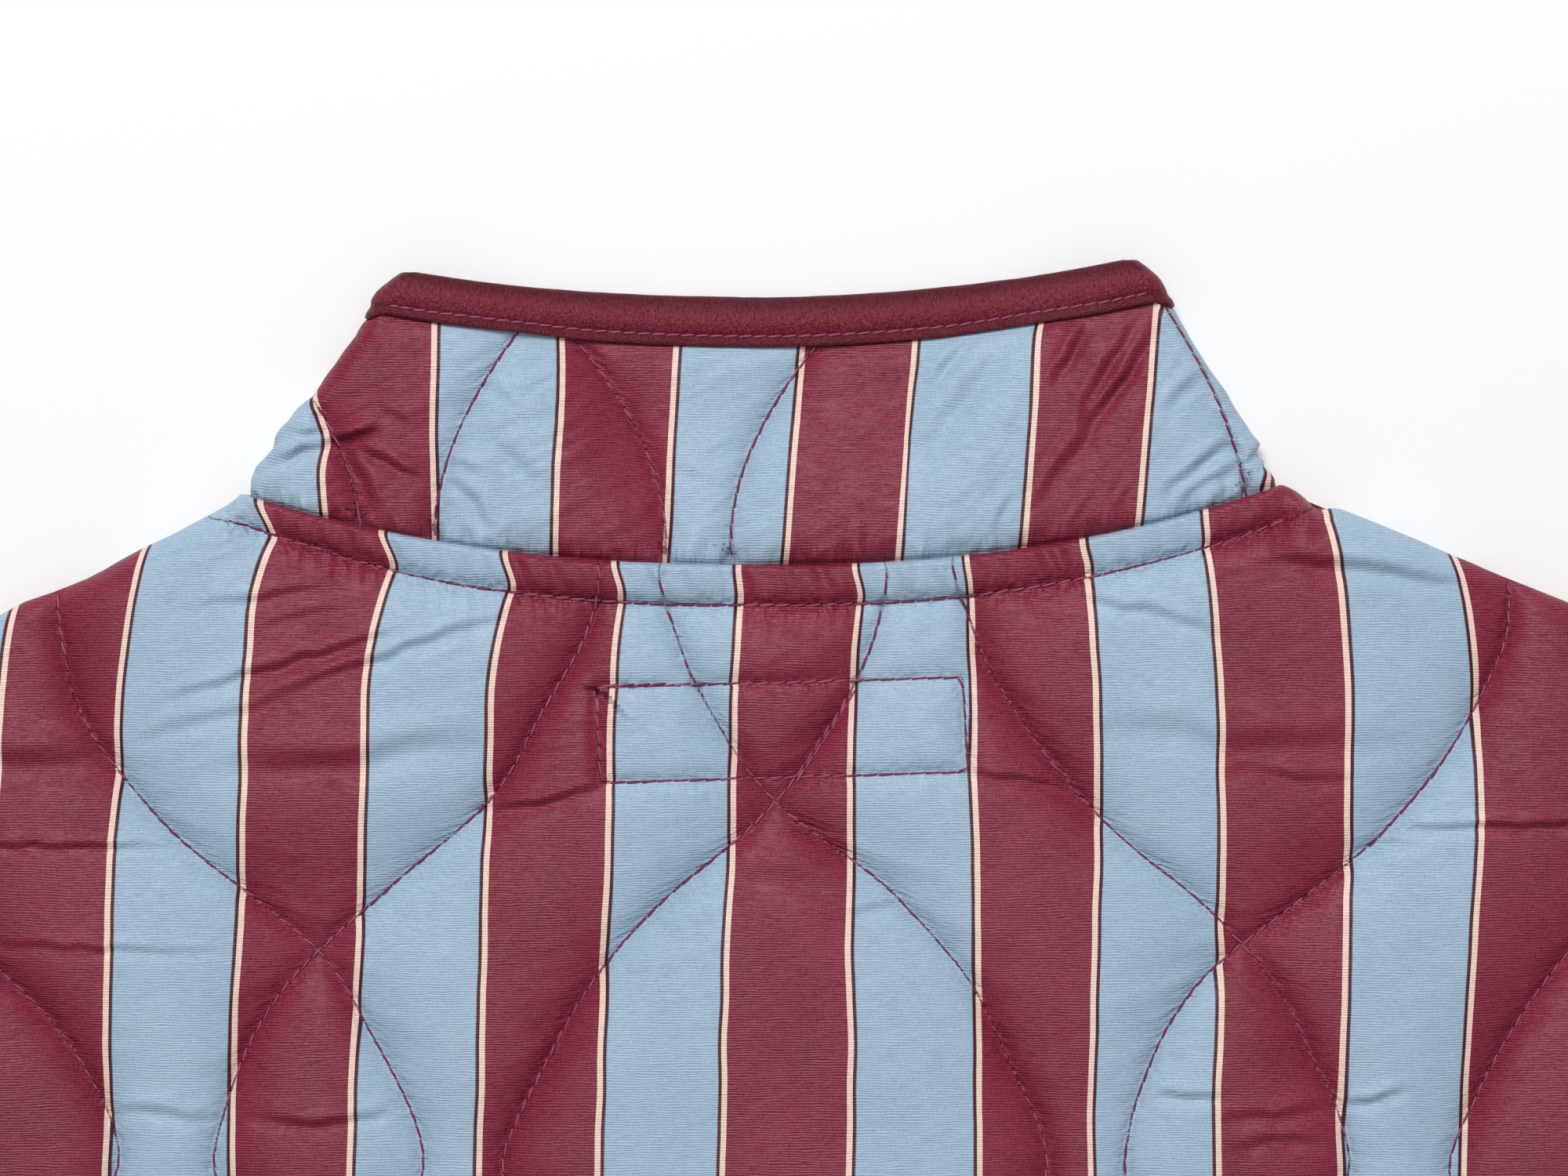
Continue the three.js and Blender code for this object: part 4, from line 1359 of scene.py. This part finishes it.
# %% Collar quilting, creases and stripes
COLLAR_PUFF = 3.4
COLLAR_WAVES = [  # the middle of each line, and its swing as a share of the back's
    (-213.0, -1),
    (-152.0, -1),
    (-122.0, 1),
    (-59.9, 1),
    (-34.3, -0.865),
    (31.4, -1),
    (69.6, 0.728),
    (124.5, 1),
    (153.5, -1),
    (214.0, -1),
]
collar_quilting = [
    Wave(centre, way * QUILT_SWING, top=68.6, half_wave=128.0, low=-75.0, high=62.0, reach=6, pucker=0.3)
    for centre, way in COLLAR_WAVES
]
COLLAR_CREASES = [Crease(*row) for row in (
    ([(-104.5, 20), (-100, 24), (-96.5, 26), (-90.5, 26.6)], 0.95, 1.5),
    ([(-104.5, 16.5), (-99, 20.5), (-95, 22.8), (-90.5, 23.5)], 1.1, 1.5),
    ([(-90, 24.2), (-85, 25.8), (-79.5, 27.6)], 0.9, 1.9),
    ([(-86.5, 23), (-82.5, 17), (-80.5, 12)], 1.2, 0.8),
    ([(-84, 24), (-77, 20), (-71, 17)], 1.1, 1.0),
    ([(-79, 32), (-73, 27.5)], 1.3, 0.4),
    ([(-66.5, 21.5), (-59.5, 18)], 1.1, 0.5),
    ([(-65.5, 16.5), (-60, 12.5), (-56.5, 7)], 1.2, 0.6),
    ([(-58, 38), (-52.5, 31.5)], 1.2, 0.4),
    ([(-56, 26), (-47, 15)], 1.8, 0.4),
    ([(-38.5, 45), (-35, 41.5)], 1.0, 0.6),
    ([(-20, 19.5), (-12, 15.5)], 1.2, 0.35),
    ([(33, 35.5), (38, 41), (42.5, 46)], 1.2, 0.7),
    ([(30, 20), (40, 31), (50, 43)], 2.6, 0.7),
    ([(58, 36), (61.5, 42), (65.5, 49.5)], 1.1, 0.9),
    ([(45.5, 5), (50, 14)], 1.0, 0.5),
    ([(56, 14), (64, 25), (77, 45)], 1.5, 0.8),
    ([(62, 27), (68, 37), (74.5, 49)], 1.3, 0.7),
    ([(68, 30), (74, 40), (79, 47)], 1.2, 0.6),
    ([(80.5, 13.5), (88, 20), (96, 26)], 1.3, 0.9),
    ([(84, 12.5), (90, 17), (98, 20.5)], 1.1, 0.8),
    ([(79, 31), (86, 35.5), (90, 38.5)], 1.4, 0.5),
    ([(98, 18.5), (104, 20.5)], 0.9, 1.4),
    ([(140, 20), (160, 40)], 3.0, 0.6),
    ([(-165, 38), (-140, 22)], 3.0, 0.6),
)]
COLLAR_LEAN = [(-90, -0.06), (-68, 0.0), (-42, 0.035), (5, 0.085), (80, 0.08)]
COLLAR_STRIPE_START = 5.4
COLLAR_STRIPE_SCALE = REPEAT / 48.2  # the stripes lie a little closer here than on the back
UNLEANED = 23.9  # the height from which they lean
print(len(collar_quilting), "quilting lines and", len(COLLAR_CREASES), "creases on the collar")


# %% Collar surface
def collar_stripe(x):
    return (x - COLLAR_STRIPE_START) * COLLAR_STRIPE_SCALE


def tape_share(station):
    """How much further down the binding reaches round the folds, where it runs straight on."""
    away = np.abs(station)
    return 1 + 0.36 * smooth(away, 0.95, 1.35) * smooth(away, 2.05, 1.65)


def puffed_collar(x, y, from_seam):
    """The collar's outer face above the stitched level, gathered where it leaves the seam."""
    height = relief(x, y, collar_quilting, COLLAR_PUFF, seed=4) + creased(x, y, COLLAR_CREASES)
    height = height + uneven(x, y, (0.4, 45, 35, 16), (0.2, 16, 16, 17))
    height = height + 0.23 * blend(ripples(x, y, 27, 53), ripples(x, y, 57, 55), smooth(x, 20, 55))
    gathers = uneven(x, from_seam, (1.5, 2.2, 14, 34), (0.4, 5, 20, 35))
    length = 4.0 + uneven(x, 0, (3.0, 5, 1, 36))
    emerged = np.maximum(from_seam - TUCK, 0)
    gathers = gathers * np.exp(-((emerged / length) ** 1.6)) * blend(0.7, 1, smooth(emerged, 0, 1.5))
    return height * blend(0.25, 1, 1 - fading(emerged, 2.0)) + gathers, emerged


def collar_surface(station, rise):
    at, out, cloth = collar_frame(station, rise)
    x, y = cloth.T
    away = np.abs(station)
    height, emerged = puffed_collar(x, y, rise * COLLAR_HEIGHT)
    to_binding = (1 - rise) * COLLAR_HEIGHT / tape_share(station) - TAPE_DEPTH
    taped = smooth(to_binding, 0.6, -0.4)
    level = STITCHED + height * (1 - 0.75 * fading(to_binding, 2.2))
    in_fold = 0.65 * smooth(away, 0.955, 1.06) * smooth(away, 2.1, 1.95)
    level = blend(blend(level, COLLAR_WALL, in_fold), COLLAR_TAPED, taped)
    level = np.where(away > 1.5, np.minimum(level, COLLAR_WALL + 0.15), level)
    level = blend(level, COLLAR_TAPED, smooth(away, 2.86, 2.96))

    shift = np.interp(x, *np.transpose(COLLAR_LEAN)) * (y - UNLEANED)
    shift = shift + 1.6 * hill(x, -89.5, 7) * hill(y, 25.3, 4.5)
    shift = shift + jogs(x, y, collar_quilting, 0.35) + uneven(x, y, (0.25, 20, 20, 9))
    numbers = seam_numbers(x, y, collar_quilting)
    at_base, by_line = 1.4 * hill(emerged, 0, 3.0), numbers["near"]
    numbers["run"] = np.where(at_base > by_line, 9000 + 1.2 * x, numbers["run"])
    numbers["near"] = np.maximum(at_base, by_line) * smooth(np.abs(at_base - by_line), 0.1, 0.5)
    # painted shade: the seam number goes to zero where the collar comes out from under the folded neck edge,
    # so the groove's painted shade also darkens that crevice
    numbers["seam"] = numbers["seam"] * np.tanh(emerged / 10)
    cloth_map = np.stack([collar_stripe(x - shift), y], -1)
    return {"points": on_floor(at + out * level[:, None]), "cloth": cloth_map, **numbers}


# %% Collar piece
def band_stations(back_step, fold_step, front_step):
    """Stations along a band that goes round a fold at each side, both ways from its middle."""
    return both_ways(in_turn((0, 1, back_step), (1, 2, fold_step), (2, 3, front_step)))


collar_rises = np.append([0, 0.006, 0.013, 0.022], spread(0.034, 1, 0.0155))
collar_mesh = cloth_grid(band_stations(0.0085, 0.07, 0.03), collar_rises, collar_surface)
collar = show_quilted(turn_faces(collar_mesh), "collar", CLOTH_WALL)

# %% [markdown]
# ## Bindings
#
# A binding is a tape that wraps an edge: it runs up the outer face, round the edge and down
# the inner face. Its section is a short table: how deep a place is from the edge, how far it
# stands off the middle of the cloth, and how far it has turned round the edge. Near its lower
# edge a row of stitches pulls it in, and below the stitches it rolls. Each kind of edge has a
# frame, a function that gives the cloth's middle, its outward way and the length along it.

# %% Binding section
TAPE_SECTION = [  # millimetres of tape, and there its depth, its level and its turn
    (0.0, 8.0, 1.05, 0),
    (0.5, 8.1, 1.5, 0),
    (1.1, 7.8, 1.7, 0),
    (1.8, 7.1, 1.75, 0),
    (2.2, 6.7, 1.62, 0),
    (2.9, 6.0, 1.45, 0),
    (3.8, 5.1, 1.92, 0),
    (5.2, 3.7, 2.3, 0),
    (6.2, 2.7, 2.15, 0),
    (7.6, 1.3, 1.75, 0.03),
    (9.0, 0.2, 1.45, 0.15),
    (10.2, 0.0, 1.65, 0.3),
    (11.6, 0.0, 1.92, 0.5),
    (14.5, 0.0, 1.95, 1),
    (18.5, 3.0, 2.0, 1),
    (24.5, 8.0, 1.6, 1),
]
STITCH_AT = 2.9
ON_FACE = [0, 0.2, 0.5, 0.8, 1.1, 1.5, 1.9, 2.3, 2.7, 3.0, 3.4, 3.8, 4.2, 4.8, 5.4, 6.2, 7, 8, 9]
ROUND_EDGE = [9.6, 10.2, 10.8, 11.5, 12.2, 13.0, 13.8, 14.5, 18.5, 24.5]
FINE_ROWS = [*ON_FACE, *ROUND_EDGE]
COARSE_ROWS = [*FINE_ROWS[::2], FINE_ROWS[-1]]
tapes, tape_surfaces = {}, {}


def bound_edge(frame, seed):
    """A binding's surface from a frame that gives the cloth at a station and a depth."""

    def surface(station, at):
        depth, level, turn = looked_up(TAPE_SECTION, at)
        angle = turn * math.pi
        middle, out, length = frame(station, depth)
        inwards = frame(station, np.ones_like(at))[0] - frame(station, np.zeros_like(at))[0]
        off = -inwards / np.linalg.norm(inwards, axis=1)[:, None]
        ripple = uneven(length, at, (0.12, 5, 4, seed), (0.1, 2.2, 3, seed + 1))
        level = level + ripple * (0.35 + hill(at, STITCH_AT, 2.2))
        points = middle + out * (level * np.cos(angle))[:, None] + off * (level * np.sin(angle))[:, None]
        return {"points": on_floor(points), "cloth": np.stack([length, at], -1)}

    return surface


def bind(name, frame, seed, along, rows, closed=False):
    """Makes a binding, shows it in place of its CAD node and keeps its surface for stitches."""
    surface = bound_edge(frame, seed)
    mesh = cloth_grid(along, rows, surface)
    mesh = tidy_up(mesh, join=True) if closed else turn_faces(mesh)
    tapes[name] = show(mesh, name, tape, name.replace("_tape", ""), TAPE_WALL)
    tape_surfaces[name] = frame, surface


# %% Collar and hem bindings
def collar_edge(station, depth):
    station = np.sign(station) * np.minimum(np.abs(station), 3.0)
    at, out, cloth = collar_frame(station, 1 - depth * tape_share(station) / COLLAR_HEIGHT)
    return at, out, cloth[:, 0]


def hem_edge(station, depth):
    part, side = np.abs(station), by_side(station, -1.0, 1.0)
    axis = HEM_HALF - REACH
    angle = np.clip(part - 1, 0, 1) * math.pi
    on_back, share = np.minimum(part, 1), np.clip(3 - part, 0, 1)
    x = np.where(part > 2, blend(0.3, axis, share), on_back * axis) + FOLD * np.sin(angle)
    out = np.stack([side * np.sin(angle), np.zeros_like(x), np.cos(angle)], -1)
    length = side * (on_back * axis + angle * FOLD + np.where(part > 2, axis - x, 0))
    return np.stack([side * x, HEM_Y + depth, MID + FOLD * np.cos(angle)], -1), out, length


bind("collar_binding_tape", collar_edge, 41, band_stations(0.0085, 0.07, 0.04), FINE_ROWS)
bind("hem_binding_tape", hem_edge, 43, band_stations(0.014, 0.125, 0.02), COARSE_ROWS)


# %% Cuff and front bindings
def cuff_edge(side):
    def frame(around, depth):
        place = rescaled(around, WRIST, UPPER_ARM)
        length = sleeve_frame(place, np.ones_like(around))[-1]
        middle, out = sleeve_frame(place, 1 - depth / length)[:2]
        return (middle + out * FOLD) * (side, 1, 1), out * (side, 1, 1), around

    return frame


def front_edge(side):
    def frame(y, depth):
        at = np.stack([side * (FRONT_EDGE + depth), y, np.full_like(y, LOWER)], -1)
        return at, np.zeros_like(at) - (0, 0, 1), y

    return frame


front_tape_y = spread(HEM_Y + 9.4, -26.5, 4)
for side, word in SIDES:
    around_cuff = around_tube(WRIST, 1.3, 4)
    bind(f"cuff_binding_tape_{word}", cuff_edge(side), 45 + side, around_cuff, COARSE_ROWS, closed=True)
    bind(f"front_binding_tape_{word}", front_edge(side), 48 + side, front_tape_y, COARSE_ROWS)

# %% [markdown]
# ## Stitches
#
# Each stitch is a short spindle of thread whose ends dive into the cloth. One small template
# is made with bmesh and copied along every line by numpy, which joins the copies in one mesh
# for each piece of the jacket. On the back, the collar and the fronts a ray from above or
# below finds the cloth at both ends of each stitch. The sleeves and the bindings turn over, so
# the functions that shaped them say where it is. Outside the closely seen part the template
# is coarser.

# %% Stitch templates
STITCH_THICK, STITCH_SINK, STITCH_SLANT = 0.5, 0.13, 0.1
LIFT = 0.1  # of the stitches off the surface that they are sewn on


def stitch_template(around, along):
    """Corners, faces and depth of one stitch of unit length along X."""
    bm = bmesh.new()
    bmesh.ops.create_uvsphere(bm, u_segments=around, v_segments=along, radius=0.5)
    bmesh.ops.rotate(bm, verts=bm.verts, matrix=Matrix.Rotation(math.pi / 2, 3, "Y"))
    bmesh.ops.triangulate(bm, faces=bm.faces)
    corners = np.array([corner.co[:] for corner in bm.verts])
    faces = np.array([[corner.index for corner in face.verts] for face in bm.faces])
    bm.free()
    radius = np.hypot(corners[:, 1], corners[:, 2]) * 2
    corners[:, 1:] *= np.maximum(radius, 0.05)[:, None] ** -0.45
    # depth is 1 at the stitch's ends, where the thread's colour gets painted shade for its hole
    depth = np.clip((np.abs(corners[:, 0]) - 0.43) / 0.07, 0, 1)
    return corners, faces, depth


FINE_STITCH = stitch_template(6, 6)
COARSE_STITCH = stitch_template(4, 3)
print("a stitch has", len(FINE_STITCH[1]), "triangles, a coarse one", len(COARSE_STITCH[1]))


# %% Sewing
class Sewing:
    """Collects stitches until one piece is made of them."""

    def __init__(self):
        self.corners, self.faces, self.depths, self.shines, self.count = [], [], [], [], 0

    def add(self, starts, ends, ups, template, shine, lift=LIFT):
        """Stitches from starts to ends, in millimetres, on a surface that faces ups."""
        if not len(starts):
            return
        shape, faces, depth = template
        middle, run = (starts + ends) / 2 + ups * lift, ends - starts
        length = np.linalg.norm(run, axis=1, keepdims=True)
        run = run / length
        side = np.cross(ups, run)
        side = side / np.linalg.norm(side, axis=1, keepdims=True)
        run = run + side * STITCH_SLANT
        run = run / np.linalg.norm(run, axis=1, keepdims=True)
        up = np.cross(run, side)
        side = np.cross(up, run)
        bow = STITCH_SINK * (0.55 - (2 * shape[:, 0]) ** 2)
        forward = shape[:, 0] * length
        risen = shape[:, 2] * STITCH_THICK * 0.85 + bow
        placed = middle[:, None] + run[:, None] * forward[:, :, None]
        placed = placed + side[:, None] * shape[None, :, 1:2] * STITCH_THICK
        placed = placed + up[:, None] * risen[None, :, None]
        first_corner = self.count + np.arange(len(starts)) * len(shape)
        self.faces.append((faces + first_corner[:, None, None]).reshape(-1, 3))
        self.corners.append(placed.reshape(-1, 3))
        self.depths.append(np.tile(depth, len(starts)))
        self.shines.append(np.repeat(shine, len(shape)))
        self.count += len(starts) * len(shape)

    def sewn(self, name):
        """One piece made of all the stitches so far."""
        corners, faces = on_floor(np.concatenate(self.corners)), np.concatenate(self.faces)
        mesh = bpy.data.meshes.new(name)
        mesh.from_pydata(in_frame(corners).tolist(), [], faces.tolist())
        set_numbers(mesh, depth=np.concatenate(self.depths), shine=np.concatenate(self.shines))
        return show(mesh, name, thread)


def stitch_starts(line):
    """Lengths along a line at which its stitches begin, each where the last one ends."""
    return np.arange(0.0, line.along[-1] - STITCH_PITCH, STITCH_PITCH)


def stripe_shine(u):
    """The share of painted highlight in the thread's colour: 0.6 on a burgundy stripe and none on a blue one.
    """
    return np.where((u + 0.5) % REPEAT < BURGUNDY_WIDTH + 1, 0.6, 0.0)


# %% Sew along lines seen in plan
SEARCH_FROM = 40.0
MAX_STEP, MIN_FACING = 1.8, 0.25  # where the cloth is steeper, as in a fold, there is no stitch
CLOSE_Y = -130


def surface_finder(piece, way):
    """Finds the place and the normal where a ray up, 1, or down, -1, first meets a piece."""
    mesh = piece.data
    corners = [vertex.co[:] for vertex in mesh.vertices]
    tree = BVHTree.FromPolygons(corners, [face.vertices[:] for face in mesh.polygons])

    def find(places):
        found = np.full((len(places), 6), np.nan)
        for number, (x, y) in enumerate(places):
            start = ORIGIN + Vector((x, y, -way * SEARCH_FROM)) * MM
            spot, normal, _, _ = tree.ray_cast(start, Vector((0, 0, way)))
            if spot is not None:
                found[number, :3] = (spot - ORIGIN) / MM
                found[number, 3:] = normal if normal.z * way < 0 else -normal
        return found

    return find


def sew_along(lines, piece, way, shine_at, name):
    """Sews rows of stitches on the face of a piece that rays meet from above or below."""
    find, sewing = surface_finder(piece, way), Sewing()
    for line in lines:
        starts = stitch_starts(line)
        first, last = line.at(starts + 0.1), line.at(starts + 0.1 + STITCH_PITCH)
        a, b = find(first), find(last)
        good = ~np.isnan(a[:, 0]) & ~np.isnan(b[:, 0]) & (np.abs(a[:, 2] - b[:, 2]) < MAX_STEP)
        good &= (np.abs(a[:, 5]) > MIN_FACING) & (np.abs(b[:, 5]) > MIN_FACING)
        ups = (a[:, 3:] + b[:, 3:]) / 2
        shine = shine_at(*first.T) * (0.75 + 0.25 * wander(starts / 3, 0, 60))
        near = good & (np.abs(first[:, 0]) < CLOSE_X) & (first[:, 1] > CLOSE_Y) & (way < 0)
        for chosen, template in ((near, FINE_STITCH), (good & ~near, COARSE_STITCH)):
            sewing.add(a[chosen, :3], b[chosen, :3], ups[chosen], template, shine[chosen])
    return sewing.sewn(name)


TACKS = [  # short second rows, where a seam was started or mended
    StitchLine([(-33.6, -24.6), (-26, -24.4), (-18.2, -24.2)]),
    StitchLine([(-34.6, -26.8), (-34.4, -32.2)]),
    StitchLine([(5.6, -44.4), (12.3, -34.4), (18.6, -24.3)]),
]


def back_shine(x, y):
    return stripe_shine(body_map(x, y, [])[:, 0])


def collar_shine(x, y):
    return stripe_shine(collar_stripe(x))


back_lines = [*back_quilting, label_box, topstitch, *TACKS]
back_thread = sew_along(back_lines, back, -1, back_shine, "back_stitches")
collar_thread = sew_along(collar_quilting, collar, -1, collar_shine, "collar_stitches")

# %% Sew the bindings
# the share of painted highlight in the colour of the stitches on the bindings
TAPE_SHINE = 0.4


def stations(start, end, length):
    """Stations for stitches between two stations that are length millimetres apart."""
    return np.arange(start, end, (end - start) * STITCH_PITCH / length)


def sew_tape(name, *rows):
    """Sews a binding, along rows of stations that each come with a template."""
    frame, surface = tape_surfaces[name]
    sewing = Sewing()
    for places, template in rows:
        half, at = (places[1] - places[0]) / 2, np.full_like(places, STITCH_AT)
        a, b = surface(places - half, at)["points"], surface(places + half, at)["points"]
        ups = frame(places, np.full_like(places, 7.0))[1]
        sewing.add(a, b, ups, template, np.full_like(places, TAPE_SHINE))
    sewing.sewn(name.replace("tape", "stitches"))


collar_under, hem_under = stations(2.05, 2.96, 95), stations(2.02, 2.97, 270)
sew_tape(
    "collar_binding_tape",
    (stations(-0.99, 0.99, 170), FINE_STITCH),
    *((side * collar_under, COARSE_STITCH) for side, _ in SIDES),
)
sew_tape(
    "hem_binding_tape",
    (stations(-0.99, 0.99, 562), COARSE_STITCH),
    *((side * hem_under, COARSE_STITCH) for side, _ in SIDES),
)
ring = FOLD_ARC + WRIST
for side, word in SIDES:
    sew_tape(f"cuff_binding_tape_{word}", (stations(-ring, ring, 2 * ring), COARSE_STITCH))
    sew_tape(f"front_binding_tape_{word}", (stations(HEM_Y + 14, -32, 634), COARSE_STITCH))

# %% Sew the fronts and the sleeves
SLEEVE_LIFT = 0.05


def sleeve_places(side, line, lengths):
    """Places on a sleeve, and the way it faces there, for lengths along a line on its cloth."""
    u, v = line.at(lengths).T
    part = -v / SLEEVE_LENGTH
    for _ in range(3):
        width = blend(UPPER_ARM, WRIST, part)
        around = rescaled(u, width, UPPER_ARM)
        _, out, _, length = sleeve_frame(around, np.clip(part, 0, 1))
        part = -v / length
    inside = (part > 0.012) & (part < 0.983) & (np.abs(u) < width + 2 * FOLD_ARC - 1)
    return sleeve_surface(side)(around, np.clip(part, 0, 1))["points"], out * (side, 1, 1), inside


def sew_sleeve(side, name):
    sewing = Sewing()
    for line in sleeve_quilting:
        starts = stitch_starts(line)
        a, ups, inside = sleeve_places(side, line, starts)
        b, _, also = sleeve_places(side, line, starts + STITCH_PITCH)
        good = inside & also & (np.linalg.norm(b - a, axis=1) < STITCH_PITCH * 1.4)
        shine = stripe_shine(line.at(starts)[:, 0])
        sewing.add(a[good], b[good], ups[good], COARSE_STITCH, shine[good], SLEEVE_LIFT)
    return sewing.sewn(name)


def front_shine(x, y):
    return stripe_shine(x - STRIPE_START)


front_threads, sleeve_threads = {}, {}
for side, word in SIDES:
    name = f"front_stitches_{word}"
    front_threads[word] = sew_along(front_quilting, fronts[word], 1, front_shine, name)
    sleeve_threads[word] = sew_sleeve(side, f"sleeve_stitches_{word}")
